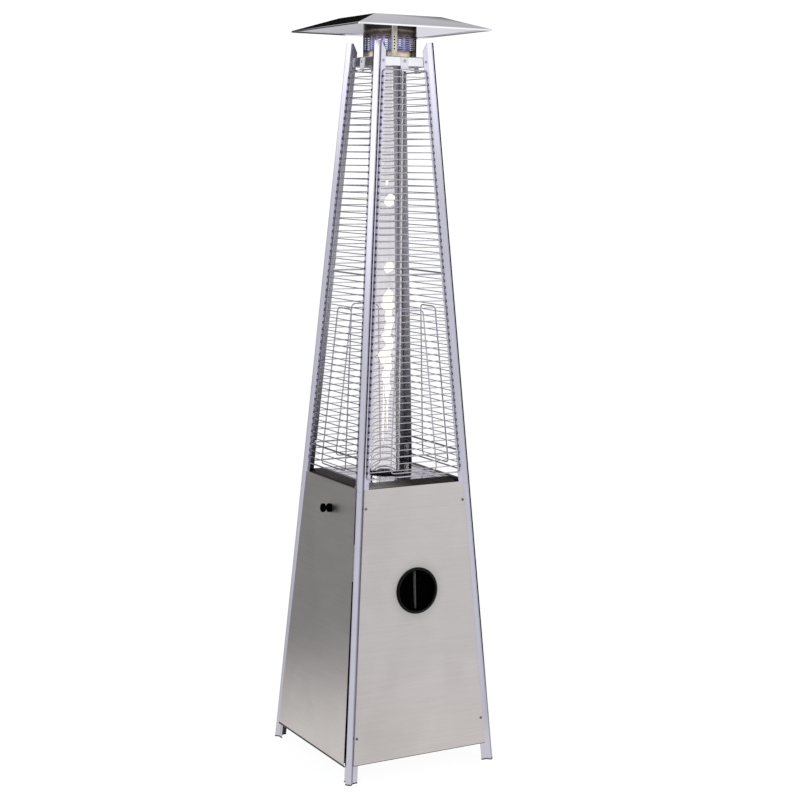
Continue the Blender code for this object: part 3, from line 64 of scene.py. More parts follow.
# Overall shape, as in the solids
QUARTER = math.pi / 2
GAP = 0.0003
BASE_HALF = 0.248
TOP_HALF = 0.0892
POST_TOP_Z = 2.192
SPLIT_Z = 0.872
SLOPE = (BASE_HALF - TOP_HALF) / POST_TOP_Z
LEAN = math.atan(SLOPE)
FACES = ("front", "right", "rear", "left")
CORNERS = ("front_left", "front_right", "rear_right", "rear_left")

# Posts
POST_SHEET = 0.0015
POST_BEND = 0.0016
NOSE_ROOT = 0.013
WALL_DEPTH = 0.016
WALL_RUN = WALL_DEPTH / math.sqrt(2)
FLANGE_WIDTH = 0.016
FLANGE_END = NOSE_ROOT + FLANGE_WIDTH
FLANGE_TOP_CUT = 0.027
FLANGE_HOLE_R = 0.0017
FLANGE_HOLE_Z = 2.088
FLANGE_SCREW_EDGE = 0.021
FOOT_HEIGHT = 0.003
FOOT_LIP = 0.001
SPIGOT_HALF_LENGTH = 0.06
SPIGOT_SHEET = 0.0012
SPIGOT_LEAD = WALL_RUN * 0.003 / WALL_DEPTH
POST_PATH = (
    (-FLANGE_END, 0),
    (-NOSE_ROOT, 0),
    (WALL_RUN - NOSE_ROOT, WALL_RUN),
    (WALL_RUN, WALL_RUN - NOSE_ROOT),
    (0, -NOSE_ROOT),
    (0, -FLANGE_END),
)

# Plates between the posts
PLATE_SHEET = 0.0012
PLATE_BEND = 0.0025
PLATE_CORNER = 0.003
PLATE_OUTSET = POST_SHEET + GAP
HEARTH_Z = 0.887
HEARTH_TOP_HALF = 0.1425
HEARTH_DEPTH = 0.0105
HEARTH_LIP = 0.004
HEARTH_BEND = 0.001
HEARTH_CORNER = 0.002
TOP_PLATE_Z = 2.148
TOP_PLATE_RIM = 0.027
PLATE_HOLE_R = 0.040
BURNER_SCREW_REACH = 0.086

# Panels
PANEL_SHEET = 0.001
PANEL_BEND = 0.0016
PANEL_OUTER = GAP + PANEL_SHEET
PANEL_EDGE = 0.0142
PANEL_BOTTOM_Z = 0.052
PANEL_TOP_Z = 0.8755
PANEL_RETURN = 0.010
PANEL_RETURN_INSET = 0.001
PANEL_SCREW_HEIGHTS = (0.134, 0.819)

# Door
DOOR_SHEET = 0.001
DOOR_EDGE = 0.018
DOOR_BOTTOM_Z = 0.047
DOOR_TOP_Z = 0.877
DOOR_FOOT_STANDOFF = 0.009
DOOR_HEAD_STANDOFF = 0.004
DOOR_AXIS_INSET = 0.004
DOOR_AXIS_Z = 0.050
DOOR_AXIS_OUT = DOOR_FOOT_STANDOFF - DOOR_AXIS_INSET
DOOR_SKIN_OUT = DOOR_AXIS_INSET + DOOR_SHEET
DOOR_FOOT_RETURN = 0.007
DOOR_CLEARANCE = 0.0006
DOOR_TAB_SPAN = (0.602, 0.712)
DOOR_TILT = math.atan((DOOR_FOOT_STANDOFF - DOOR_HEAD_STANDOFF) / (DOOR_TOP_Z - DOOR_BOTTOM_Z))
HINGE_FROM_CENTRE = 0.13
HINGE_NOTCH_HALF = 0.0014
DOOR_KNOB_Z = 0.793
DOOR_KNOB_SHIFT = 0.012

# Control
CONTROL_Z = 0.557
CUP_R = 0.0647
KNOB_R = 0.0590
KNOB_FACE_DEPTH = 0.016
BLADE_HEAD_WIDTH = 0.0068
BLADE_FOOT_WIDTH = 0.0042
BLADE_HEIGHT = 0.007
BLADE_END_INSET = 0.0015
BLADE_CROWN = 0.0012
BLADE_ROUND = 0.0007

# Burner, its section as radius and height
BURNER_LINE = (
    (0, 0.8985), (0.0152, 0.8985), (0.019, 0.9005), (0.027, 0.8945),
    (0.027, 0.8905), (0.010, 0.8905), (0.010, 0.8473), (0, 0.8473),
)
BURNER_ROUND = 0.0008
BURNER_PORTS = 24
PORT_LOW = (0.019, -0.0007, 0.8935)
PORT_HIGH = (0.029, 0.0007, 0.9005)

# Flame tongues: foot, head, radius, and drift off the axis along X and Y
FLAMES = (
    (1.372, 1.462, 0.0165, 0.007, -0.002),
    (1.285, 1.392, 0.0130, 0.004, 0.000),
    (1.195, 1.318, 0.0160, 0.006, 0.000),
    (1.110, 1.235, 0.0110, 0.005, 0.001),
    (1.502, 1.540, 0.0150, 0.002, 0.004),
    (1.700, 1.743, 0.0160, 0.004, 0.000),
    (1.766, 1.786, 0.0040, -0.004, 0.002),
    (0.980, 1.170, 0.0030, -0.006, 0.003),
    (1.010, 1.180, 0.0026, 0.006, 0.000),
)
FLAME_RINGS = 28
FLAME_SIDES = 20
FLAME_FULLNESS = 0.7
FLAME_SWAY_RATE = 18
FLAME_SWAY = (0.9, -0.5)
FLAME_LICK_RATE = 45
FLAME_LICK = (0.88, 0.9)

# Screen: its slots are shares of the cells of a grid that is wrapped round it
SCREEN_R = 0.080
SCREEN_SHEET = 0.0008
SCREEN_SPAN = (2.1483, 2.2652)
SLOT_SPAN = (2.166, 2.210)
SLOT_COLUMNS = 24
SLOT_ROWS = 8
SLOT_TURN = 2 * math.pi / SLOT_COLUMNS
SLOT_PITCH = (SLOT_SPAN[1] - SLOT_SPAN[0]) / SLOT_ROWS
SLOT_HALF_WIDTH = SLOT_TURN * SCREEN_R * 0.37
SLOT_HALF_HEIGHT = SLOT_PITCH * 0.22
SLOT_END_SHARE = 0.3
SLOT_POINTS = 16
SEAM_ANGLE = math.radians(-109)
SEAM_HALF_ANGLE = math.radians(6)
SEAM_INSET = 0.004
SEAM_STEPS = 8
RIVETS = 5
RIVET_SEAT = SCREEN_R + 0.00025
RIVET_LINE = ((0, 0.0011), (0.00162, 0.000935), (0.0027, 0.00033), (0.0027, 0), (0, 0))
RIVET_SIDES = 16

# Reflector
CROWN_Z = 2.2665
CROWN_HALF = 0.113
CROWN_CORNER = 0.0015
EAVE_HALF = 0.2215
EAVE_LIP = 0.0045
EAVE_CORNER_EXTRA = 0.0025
REFLECTOR_DEPTH = 0.037
REFLECTOR_SHEET = 0.001
REFLECTOR_BEND = 0.0015
REFLECTOR_SCREW_R = 0.066

# Guards
GUARD_EDGE = 0.0185
FRAME_WIRE_R = 0.00225
WIRE_R = 0.0015
GUARD_BEND = 0.009
GUARD_ROWS = 60
GUARD_SPAN = (0.905, 2.1085)
BAR_R = 0.0025
BAR_ROWS = (3, 30)
BAR_DEPTH = 0.0018
NOTCH_DEPTH = 0.007
NOTCH_HALF = 0.004
BAR_END_PLAY = 0.002
LOOP_R = 0.002
LOOP_DEPTH = 0.0014
LOOP_FOOT_HALF = 0.0795
LOOP_HEAD_HALF = 0.0440
LOOP_SPAN = (0.916, 1.400)
LOOP_BEND = 0.012

# Hooks on the top plate's rim
HOOK_WIDTH = 0.026
HOOK_SHEET = 0.0014
HOOK_LIP = 0.003
HOOK_HEAD_DROP = 0.0025
HOOK_BEND = HOOK_SHEET * 0.6

# Screws, with the recess in their heads
SCREW_HEAD_R = 0.0042
SCREW_HEAD_H = 0.0022
SCREW_CROWN = 0.35
SCREW_STEPS = 6
SCREW_SIDES = 24
SCREW_TURN_DEGREES = 37
RECESS_ARM = SCREW_HEAD_R * 0.52
RECESS_HALF = SCREW_HEAD_R * 0.13
RECESS_FLOOR = SCREW_HEAD_H * 0.45
TOP_SCREW_Z = TOP_PLATE_Z - TOP_PLATE_RIM / 2

# Fineness of rounded shapes
BEND_STEPS = 4
CORNER_STEPS = 3
WIRE_BEND_STEPS = 6
ROUND_SIDES = 96
BORDER_WIRE_SIDES = 12
WIRE_SIDES = 10
THIN_WIRE_SIDES = 8
WIRE_DOME = 0.35
WIRE_DOME_R = 0.7
EDGE_ROUND = 0.00025
EDGE_ANGLE = math.radians(50)
SMOOTH = math.radians(32)
CUT_OVERRUN = 0.002
WELD_DISTANCE = 0.00002
LEVEL_SLACK = 0.0001


# Places on the leaning faces


def face_half(z):
    return BASE_HALF - SLOPE * z


def along(z):
    """Distance up a leaning face of a point at height z."""
    return z / math.cos(LEAN)


def quarter_turns(count):
    return Matrix.Rotation(count * QUARTER, 4, "Z")


def face_frame(index):
    """Frame on a face: X along it, -Y outward, Z up the slope."""
    foot = Matrix.Translation((0, -BASE_HALF, 0))
    return quarter_turns(index) @ foot @ Matrix.Rotation(-LEAN, 4, "X")


def normal_frame(base, x, out, height):
    """Frame at a point of a face whose Z looks outward and whose Y runs up the face."""
    return base @ Matrix.Translation((x, -out, height)) @ Matrix.Rotation(QUARTER, 4, "X")


def flange_spots(index, z, out, sides=(-1, 1)):
    reach = face_half(z) - FLANGE_SCREW_EDGE
    return [normal_frame(face_frame(index), side * reach, out, along(z)) for side in sides]


def door_height(z):
    return along(z) - along(DOOR_AXIS_Z)


def row_z(row):
    """Height of a cross wire of the guards."""
    low, high = GUARD_SPAN
    return low + (high - low) * row / GUARD_ROWS


DOOR_FRAME = (
    face_frame(FACES.index("left"))
    @ Matrix.Translation((0, -DOOR_AXIS_OUT, along(DOOR_AXIS_Z)))
    @ Matrix.Rotation(-DOOR_TILT, 4, "X")
)
DOOR_KNOB_FRAME = normal_frame(DOOR_FRAME, DOOR_KNOB_SHIFT, DOOR_SKIN_OUT + GAP, door_height(DOOR_KNOB_Z))
CONTROL_FRAME = normal_frame(face_frame(0), 0, 0, along(CONTROL_Z))


# Finishes, kept by name

FINISHES = {}

# Stretch of the fine grain and of the streaks of brushed sheet
GRAINS = {
    "level": ((9, 9, 1400), (7, 7, 240)),
    "upright": ((1400, 1400, 5), (90, 90, 1.2)),
    "along_x": ((5, 1400, 1400), (1.2, 90, 90)),
}
INWARD_SOFTNESS = 0.002
INWARD_SHINE = 0.18
INWARD_ROUGHNESS = 0.5
# Heights over which the painted shade on the inner side of post sheets lightens, darkest at the hearth and
# below
INNER_SHADE_SPAN = (HEARTH_Z, HEARTH_Z + 0.6)
# Height of the painted shade line at the foot of the panels
HEM_SHADE_HEIGHT = 0.0022
# Painted shadow round the control: its reach and strength
CONTROL_SHADOW_SPAN = (0.066, 0.105)
CONTROL_SHADOW_STRENGTH = 0.5
# Turn of the normal over which the painted shade on a nose's cross walls fades in
CROSS_WALL_SHADE_SPAN = (1.28, 1.36)
# Painted shade at the crossings of the guard wires: its reach, and where it fades in near the first and last
# rows
CROSSING_SHADE_SPAN = (0.12, 0.22)
FIRST_CROSSING_SHADE = (0.4, 0.6)
# Margin inside the folds where the painted near-black shade of the rear and right slopes begins
HEARTH_SHADE_MARGIN = 0.002
FOLD_HALF = HEARTH_TOP_HALF + 0.0006
FOLD_SOFTNESS = 0.0005
PALE_SPAN = (-0.17, 0.0)

# Temper colours up the flame screen
TEMPER = (
    (0.0, (0.92, 0.87, 0.70)),
    (0.09, (0.78, 0.68, 0.46)),
    (0.14, (0.24, 0.16, 0.20)),
    (0.21, (0.34, 0.37, 0.66)),
    (0.40, (0.38, 0.38, 0.62)),
    (0.50, (0.24, 0.18, 0.26)),
    (0.55, (0.10, 0.08, 0.07)),
    (0.60, (0.10, 0.09, 0.06)),
    (0.65, (0.30, 0.27, 0.20)),
    (0.69, (0.06, 0.05, 0.04)),
    (1.0, (0.04, 0.035, 0.03)),
)


def add_node(tree, kind, inputs=(), **settings):
    """New shader node, each of whose inputs takes a value or the socket that drives it."""
    node = tree.nodes.new("ShaderNode" + kind)
    for key, value in settings.items():
        setattr(node, key, value)
    for socket, value in dict(inputs).items():
        if isinstance(value, bpy.types.NodeSocket):
            tree.links.new(value, node.inputs[socket])
        else:
            node.inputs[socket].default_value = value
    return node


class Finish:
    """A Principled material whose nodes vary it in object space, in metres."""

    def __init__(self, name, colour, roughness, metallic=0.0, **sockets):
        self.material = FINISHES[name] = bpy.data.materials.new(name)
        self.material.use_nodes = True
        self.tree = self.material.node_tree
        self.shader = self.tree.nodes["Principled BSDF"]
        sockets.update(Base_Color=(*colour, 1.0), Roughness=roughness, Metallic=metallic)
        for socket, value in sockets.items():
            self.shader.inputs[socket.replace("_", " ")].default_value = value

    def add(self, kind, inputs=(), **settings):
        return add_node(self.tree, kind, inputs, **settings).outputs

    def drive(self, socket, value):
        self.tree.links.new(value, self.shader.inputs[socket])

    def place(self, stretch):
        """Object coordinates, scaled by one number for each axis or by one for all three."""
        scale = stretch if isinstance(stretch, tuple) else (stretch,) * 3
        coordinates = self.add("TexCoord")["Object"]
        return self.add("Mapping", {"Vector": coordinates, "Scale": scale})[0]

    def noise(self, stretch, detail=3.0, distortion=0.0):
        inputs = {"Vector": self.place(stretch), "Scale": 1.0, "Detail": detail, "Distortion": distortion}
        return self.add("TexNoise", inputs)[0]

    def span(self, value, low, high, start=0.3, end=0.7):
        inputs = {"Value": value, "From Min": start, "From Max": end, "To Min": low, "To Max": high}
        return self.add("MapRange", inputs)[0]

    def math(self, operation, first, second=0.0):
        return self.add("Math", {0: first, 1: second}, operation=operation)[0]

    def times(self, first, second):
        return self.math("MULTIPLY", first, second)

    def products(self, a, b, c, d):
        """Sum of the products a b and c d."""
        return self.math("ADD", self.times(a, b), self.times(c, d))

    def blend(self, factor, *colours):
        """Colour between two colours, each a socket or three numbers."""
        first, second = (c if isinstance(c, bpy.types.NodeSocket) else (*c, 1.0) for c in colours)
        return self.add("Mix", {0: factor, 6: first, 7: second}, data_type="RGBA")[2]

    def tones(self, cloud, dark, light):
        """Colour that drifts between two tones with a noise."""
        return self.blend(self.span(cloud, 0, 1), dark, light)

    def ramp(self, factor, stops):
        node = add_node(self.tree, "ValToRGB", {"Fac": factor})
        elements = node.color_ramp.elements
        while len(elements) < len(stops):
            elements.new(1.0)
        for element, (position, colour) in zip(elements, stops):
            element.position = position
            element.color = (*colour, 1.0)
        return node.outputs[0]

    def sides(self, output="Object"):
        """X, Y and Z of a texture coordinate."""
        return self.add("SeparateXYZ", {0: self.add("TexCoord")[output]})

    def reach(self):
        """Distance from the object's upright axis, measured square to the faces."""
        x, y, _ = self.sides()
        return self.math("MAXIMUM", self.math("ABSOLUTE", x), self.math("ABSOLUTE", y))

    def inward(self):
        """One on the side of a sheet that looks at the object's upright axis, and nought outside."""
        place, normal = self.sides(), self.sides("Normal")
        outward = self.products(place[0], normal[0], place[1], normal[1])
        return self.span(outward, 1, 0, -INWARD_SOFTNESS, INWARD_SOFTNESS)

    def bump(self, height, distance):
        inputs = {"Height": height, "Distance": distance, "Strength": 1.0}
        normal = self.shader.inputs["Normal"]
        if normal.links:
            inputs["Normal"] = normal.links[0].from_socket
        self.drive("Normal", self.add("Bump", inputs)[0])


def plain(name, dark, light, roughness, cloud, grain, metallic=0.0, **sockets):
    """Finish that drifts between two tones with one noise and has the fine bump of another."""
    finish = Finish(name, light, sum(roughness) / 2, metallic, **sockets)
    drift = finish.noise(*cloud)
    finish.drive("Base Color", finish.tones(drift, dark, light))
    finish.drive("Roughness", finish.span(drift, *roughness))
    if grain:
        stretch, detail, height = grain
        finish.bump(finish.noise(stretch, detail), height)


def moulded(name, dark, light, roughness, grain=0.00006, shine=0.06):
    """Moulded plastic or rubber with a fine spark-eroded texture and faint wear."""
    plain(name, dark, light, roughness, (25, 4.0, 0.5), (1500, 2.0, grain), Specular_IOR_Level=shine)


def zinc_plate(name, dark, light):
    """Zinc plate with its faint crystals."""
    finish = Finish(name, light, 0.38, 1.0)
    inputs = {"Vector": finish.place(140), "Scale": 1.0}
    crystal = finish.add("TexVoronoi", inputs)["Color"]
    tone = finish.add("SeparateColor", {0: crystal})[0]
    finish.drive("Base Color", finish.blend(tone, dark, light))
    finish.drive("Roughness", finish.span(tone, 0.28, 0.46, 0, 1))
    finish.bump(finish.noise(300, 3.0), 0.00006)


def painted_hem_shade(finish):
    """Painted shade: a dark line along the fold at the foot of a panel."""
    foot = PANEL_BOTTOM_Z + HEM_SHADE_HEIGHT
    return finish.span(finish.sides()[2], 1, 0, foot, foot + HEM_SHADE_HEIGHT / 4)


def painted_control_shadow(finish):
    """Painted shadow: a soft darker ring of sheet around the control."""
    inputs = {0: finish.add("TexCoord")["Object"], 1: CONTROL_FRAME.translation}
    away = finish.add("VectorMath", inputs, operation="DISTANCE")["Value"]
    near = finish.span(away, 1, 0, *CONTROL_SHADOW_SPAN)
    return finish.times(finish.times(near, near), CONTROL_SHADOW_STRENGTH)


def cross_wall_shade(finish):
    """The walls of a post's nose that look square to the line from corner to corner, where the sheet is
    painted darker as shade.
    """
    x, y, _ = finish.sides("Normal")
    turn = finish.math("ABSOLUTE", finish.math("SUBTRACT", x, y))
    return finish.span(turn, 0, 1, *CROSS_WALL_SHADE_SPAN)


def painted_eave_highlight(finish):
    """The lip around the reflector, painted white as a highlight."""
    return finish.span(finish.reach(), 0, 1, EAVE_HALF - 2 * REFLECTOR_SHEET, EAVE_HALF - REFLECTOR_SHEET)


def grained_steel(name, dark, light, roughness, grain, long_axis, wave=0.0, inner_shade=(), painted_light_marks=()):
    """Brushed or satin sheet with grain along one axis, faint clouds, a duller inner side painted darker as
    shade, and marks of painted light and shade.
    """
    finish = Finish(name, light, sum(roughness) / 2, 1.0)
    fine_stretch, streak_stretch = GRAINS[long_axis]
    fine = finish.noise(fine_stretch, 2.0)
    both = finish.products(fine, 0.5, finish.noise(streak_stretch, 4.0), 0.5)
    tone = finish.products(both, 0.6, finish.noise((7, 7, 6), 4.0, 0.6), 0.4)
    colour = finish.blend(finish.span(tone, 0, 1, 0.38, 0.62), dark, light)
    rough = finish.span(both, *roughness)
    # Inner side painted darker as shade
    if inner_shade:
        inward = finish.inward()
        inner = finish.blend(finish.span(finish.sides()[2], 0, 1, *INNER_SHADE_SPAN), *inner_shade)
        colour = finish.blend(inward, colour, inner)
        rough = finish.math("MAXIMUM", rough, finish.times(inward, INWARD_ROUGHNESS))
        finish.drive("Metallic", finish.span(inward, 1, INWARD_SHINE, 0, 1))
    # Painted light and shade laid over the colour
    for painted_mask, painted_colour in painted_light_marks:
        colour = finish.blend(painted_mask(finish), colour, painted_colour)
    finish.drive("Base Color", colour)
    finish.drive("Roughness", rough)
    finish.bump(fine, grain)
    if wave:
        finish.bump(finish.noise((3, 3, 2), 1.0), wave)


def hearth_steel():
    """Polished top plate whose slopes are coloured dark, lighter at the left end of the front one; the rear
    and right slopes, from just inside their folds, are painted near-black as shade.
    """
    finish = Finish("hearth_steel", (0.70, 0.69, 0.71), 0.1, 1.0, Specular_IOR_Level=0.08)
    haze = finish.noise(9, 5.0, 0.6)
    polish = finish.tones(haze, (0.57, 0.55, 0.565), (0.62, 0.60, 0.615))
    scale = finish.noise((30, 400, 400), 4.0, 0.5)
    dark_slope = finish.tones(scale, (0.016, 0.012, 0.011), (0.048, 0.039, 0.036))
    x, y, _ = finish.sides()
    front = finish.span(y, 1, 0, -FOLD_HALF - FOLD_SOFTNESS, -FOLD_HALF)
    pale = finish.times(front, finish.span(x, 1, 0, *PALE_SPAN))
    dark_slope = finish.blend(pale, dark_slope, (0.26, 0.25, 0.23))
    # Rear and right slopes painted near-black as shade
    far = finish.span(finish.math("MAXIMUM", x, y), 0, 1, FOLD_HALF - HEARTH_SHADE_MARGIN, FOLD_HALF)
    dark_slope = finish.blend(far, dark_slope, (0.004, 0.003, 0.003))
    outer = finish.span(finish.reach(), 0, 1, FOLD_HALF - FOLD_SOFTNESS, FOLD_HALF + FOLD_SOFTNESS)
    slope = finish.math("MAXIMUM", far, outer)
    finish.drive("Base Color", finish.blend(slope, polish, dark_slope))
    finish.drive("Metallic", finish.span(slope, 1, 0, 0, 1))
    rough = finish.times(slope, 0.3)
    finish.drive("Roughness", finish.math("ADD", finish.span(haze, 0.06, 0.12), rough))
    finish.bump(finish.noise((6, 900, 900), 2.0), 0.000003)


def wire_shaded_at_crossings():
    """Chrome wire with a dark spot of painted shade at each crossing of a guard's cross wires."""
    finish = Finish("wire_shaded_at_crossings", (0.60, 0.58, 0.64), 0.2, 1.0)
    dull = finish.noise(60)
    plate = finish.tones(dull, (0.46, 0.45, 0.51), (0.74, 0.73, 0.80))
    row = finish.span(finish.sides()[2], 0, GUARD_ROWS, *GUARD_SPAN)
    # Painted shade at each crossing
    crossing_shade = finish.span(finish.math("PINGPONG", row, 0.5), 1, 0, *CROSSING_SHADE_SPAN)
    start, end = FIRST_CROSSING_SHADE
    above = finish.span(row, 0, 1, start, end)
    below = finish.span(row, 1, 0, GUARD_ROWS - end, GUARD_ROWS - start)
    crossing_shade = finish.times(crossing_shade, finish.times(above, below))
    finish.drive("Base Color", finish.blend(crossing_shade, plate, (0.075, 0.070, 0.080)))
    finish.drive("Roughness", finish.span(dull, 0.14, 0.26))
    finish.bump(finish.noise(700, 2.0), 0.00003)


def heat_steel():
    """Stainless sheet with the temper colours of a flame: bronze at its head, blue where it is slotted."""
    finish = Finish("heat_steel", (0.40, 0.36, 0.28), 0.3, 1.0)
    drift = finish.span(finish.noise((22, 22, 14), 3.0, 0.8), -0.004, 0.004)
    level = finish.span(finish.math("ADD", finish.sides()[2], drift), 0, 1, *SCREEN_SPAN)
    colour = finish.blend(finish.inward(), finish.ramp(level, TEMPER), (0.10, 0.08, 0.07))
    finish.drive("Base Color", colour)
    finish.drive("Roughness", finish.span(finish.noise(50), 0.18, 0.36))
    finish.bump(finish.noise(40, 2.0), 0.0004)


def burning_gas():
    finish = Finish("flame", (0.02, 0.02, 0.01), 1.0, Emission_Strength=1.42)
    flicker = finish.noise((35, 35, 14))
    finish.drive("Emission Color", finish.tones(flicker, (1.0, 0.95, 0.76), (1.0, 0.99, 0.92)))


def make_finishes():
    grained_steel(
        "post_steel", (0.68, 0.67, 0.76), (0.74, 0.73, 0.83), (0.14, 0.22), 0.00001, "upright",
        # Inner side painted as shade, dark at the hearth and light higher up; nose walls painted darker as
        # shade
        inner_shade=((0.040, 0.034, 0.032), (0.66, 0.65, 0.68)),
        painted_light_marks=((cross_wall_shade, (0.34, 0.33, 0.38)),),
    )
    grained_steel(
        "brushed_steel", (0.68, 0.642, 0.62), (0.76, 0.72, 0.695), (0.28, 0.36), 0.00001, "level",
        # Inner side painted darker as shade; painted shade along the foot and painted shadow round the
        # control
        inner_shade=((0.22, 0.21, 0.205), (0.22, 0.21, 0.205)),
        painted_light_marks=((painted_hem_shade, (0.02, 0.02, 0.02)), (painted_control_shadow, (0.34, 0.32, 0.31))),
    )
    grained_steel("rim_steel", (0.88, 0.88, 0.90), (0.93, 0.93, 0.94), (0.14, 0.22), 0.00001, "level")
    grained_steel(
        "polished_steel", (0.73, 0.71, 0.75), (0.78, 0.76, 0.79), (0.03, 0.06), 0.000001, "along_x", 0.0002,
        # Lip painted white as a highlight
        painted_light_marks=((painted_eave_highlight, (1.0, 1.0, 1.0)),),
    )
    hearth_steel()
    wire_shaded_at_crossings()
    heat_steel()
    burning_gas()
    zinc_plate("zinc_steel", (0.52, 0.53, 0.56), (0.66, 0.66, 0.67))
    zinc_plate("dark_zinc", (0.16, 0.15, 0.17), (0.30, 0.29, 0.32))
    moulded("black_plastic", (0.0006,) * 3, (0.0012,) * 3, (0.40, 0.55), shine=0.0)
    moulded("gloss_plastic", (0.002,) * 3, (0.004,) * 3, (0.12, 0.20), shine=0.12)
    moulded("grip_plastic", (0.060,) * 3, (0.085,) * 3, (0.36, 0.50))
    moulded("rubber", (0.020,) * 3, (0.035,) * 3, (0.6, 0.85), 0.0002)
    plain(
        "chrome_wire", (0.58, 0.56, 0.62), (0.74, 0.72, 0.78), (0.10, 0.22), (60,), (700, 2.0, 0.00003), 1.0
    )
    # Seam strip: a pale straw tint, raised near white as a painted highlight
    plain(
        "seam_tint_and_highlight", (0.86, 0.80, 0.62), (0.98, 0.96, 0.86), (0.30, 0.18),
        ((70, 70, 50), 3.0, 0.5), (900, 2.0, 0.00003), 0.75,
    )
    plain(
        "dull_zinc", (0.90, 0.90, 0.92), (0.98, 0.98, 1.0), (0.36, 0.54),
        (90, 4.0, 0.5), (400, 3.0, 0.00004), 0.15,
    )
    plain(
        "black_iron", (0.006, 0.006, 0.006), (0.024, 0.022, 0.020), (0.45, 0.75),
        (60, 4.0, 0.6), (500, 3.0, 0.00025), Specular_IOR_Level=0.15,
    )
    plain(
        "brass", (0.50, 0.34, 0.15), (0.80, 0.60, 0.30), (0.42, 0.22),
        (45, 4.0, 0.6), ((600, 600, 40), 2.0, 0.00004), 1.0,
    )
    plain(
        "ceramic", (0.72, 0.68, 0.60), (0.88, 0.87, 0.84), (0.4, 0.2), ((120, 120, 60), 4.0), None,
        Coat_Weight=0.4,
    )
    plain(
        "glass", (0.83, 0.815, 0.83), (0.88, 0.865, 0.88), (0.0, 0.02), ((14, 14, 5), 4.0, 0.6), None,
        Transmission_Weight=1.0, IOR=1.47,
    )


# Mesh helpers, each of which gives a new mesh or a path


def box(low, high, base=None):
    bm = bmesh.new()
    spans = list(zip(low, high))
    corners = [bm.verts.new((x, y, z)) for z in spans[2] for y in spans[1] for x in spans[0]]
    for side in ((0, 1, 3, 2), (4, 6, 7, 5), (0, 4, 5, 1), (2, 3, 7, 6), (0, 2, 6, 4), (1, 5, 7, 3)):
        bm.faces.new([corners[i] for i in side])
    bm.transform(base or Matrix.Identity(4))
    return bm


def loft(rings, cap_quads=None, closed=False):
    """Joins rings of points in turn, and either the last to the first or each end with faces."""
    bm = bmesh.new()
    rows = [[bm.verts.new(point) for point in ring] for ring in rings]
    count = len(rows[0])
    pairs = list(zip(rows, rows[1:]))
    if closed:
        pairs.append((rows[-1], rows[0]))
    for lower, upper in pairs:
        for i in range(count):
            j = (i + 1) % count
            bm.faces.new((lower[i], lower[j], upper[j], upper[i]))
    for row in () if closed else (rows[0], rows[-1]):
        for face in cap_quads or [range(count)]:
            bm.faces.new([row[i] for i in face])
    return bm


def strip_quads(count):
    """Corners of the end faces of a folded sheet, one for each of its stretches."""
    return [(i, i + 1, count - 2 - i, count - 1 - i) for i in range(count // 2 - 1)]


def swept(outline, place, ends):
    """Folded sheet whose section is placed once for each end."""
    return loft([[place(point, end) for point in outline] for end in ends], strip_quads(len(outline)))


def turned(profile, sides, base=None):
    """Solid of revolution about Z, from a profile that starts and ends on the axis or else is closed up."""
    bm = bmesh.new()
    base = base or Matrix.Identity(4)
    rings = []
    for radius, height in profile:
        if radius == 0:
            rings.append([bm.verts.new(base @ Vector((0, 0, height)))] * sides)
            continue
        ring = []
        for i in range(sides):
            angle = 2 * math.pi * i / sides
            point = Vector((radius * math.cos(angle), radius * math.sin(angle), height))
            ring.append(bm.verts.new(base @ point))
        rings.append(ring)
    pairs = list(zip(rings, rings[1:]))
    if profile[0][0] > 0:
        pairs.append((rings[-1], rings[0]))
    for low, high in pairs:
        for i in range(sides):
            j = (i + 1) % sides
            corners = dict.fromkeys((low[i], low[j], high[j], high[i]))
            if len(corners) > 2:
                bm.faces.new(tuple(corners))
    return bm


def cylinder(radius, low, high, sides, base=None):
    return turned([(0, high), (radius, high), (radius, low), (0, low)], sides, base)


def gathered(shapes):
    """One mesh of several, which are used up."""
    bm = bmesh.new()
    for shape in shapes:
        mesh = bpy.data.meshes.new("shape")
        shape.to_mesh(mesh)
        shape.free()
        bm.from_mesh(mesh)
        bpy.data.meshes.remove(mesh)
    return bm


def filleted(points, radius, steps=BEND_STEPS, closed=False):
    """Path with its corners rounded by arcs."""
    points = [Vector(point) for point in points]
    if closed:
        corners = list(zip(points[-1:] + points[:-1], points, points[1:] + points[:1]))
        path = []
    else:
        corners = list(zip(points, points[1:], points[2:]))
        path = [points[0]]
    for before, corner, after in corners:
        back = (before - corner).normalized()
        ahead = (after - corner).normalized()
        half_turn = back.angle(ahead) / 2
        reach = radius / math.tan(half_turn)
        centre = corner + (back + ahead).normalized() * radius / math.sin(half_turn)
        start = corner + back * reach - centre
        end = corner + ahead * reach - centre
        sweep = start.angle(end)
        for i in range(steps + 1):
            share = i / steps
            arm = start * math.sin(sweep * (1 - share)) + end * math.sin(sweep * share)
            path.append(centre + arm / math.sin(sweep))
    return path if closed else path + [points[-1]]


def beside(path, distance):
    """Open flat path moved to its right, with mitred corners."""
    path = [Vector(point) for point in path]
    moved = []
    for i, point in enumerate(path):
        before = (point - path[i - 1]).normalized() if i else None
        after = (path[i + 1] - point).normalized() if i < len(path) - 1 else None
        first, second = before or after, after or before
        direction = (first + second).normalized()
        right = Vector((direction.y, -direction.x))
        moved.append(point + right * distance / direction.dot(first))
    return moved


def folded_outline(outer, sheet, bend):
    """Closed outline of a sheet folded along an outer line, with round bends."""
    centre = filleted(beside(outer, sheet / 2), bend)
    return beside(centre, -sheet / 2) + beside(centre, sheet / 2)[::-1]


def rounded_square(half, z, radius):
    """Square ring of points with round corners, at one height."""
    corners = [(half, -half, z), (half, half, z), (-half, half, z), (-half, -half, z)]
    return filleted(corners, max(radius, EDGE_ROUND), CORNER_STEPS, closed=True)


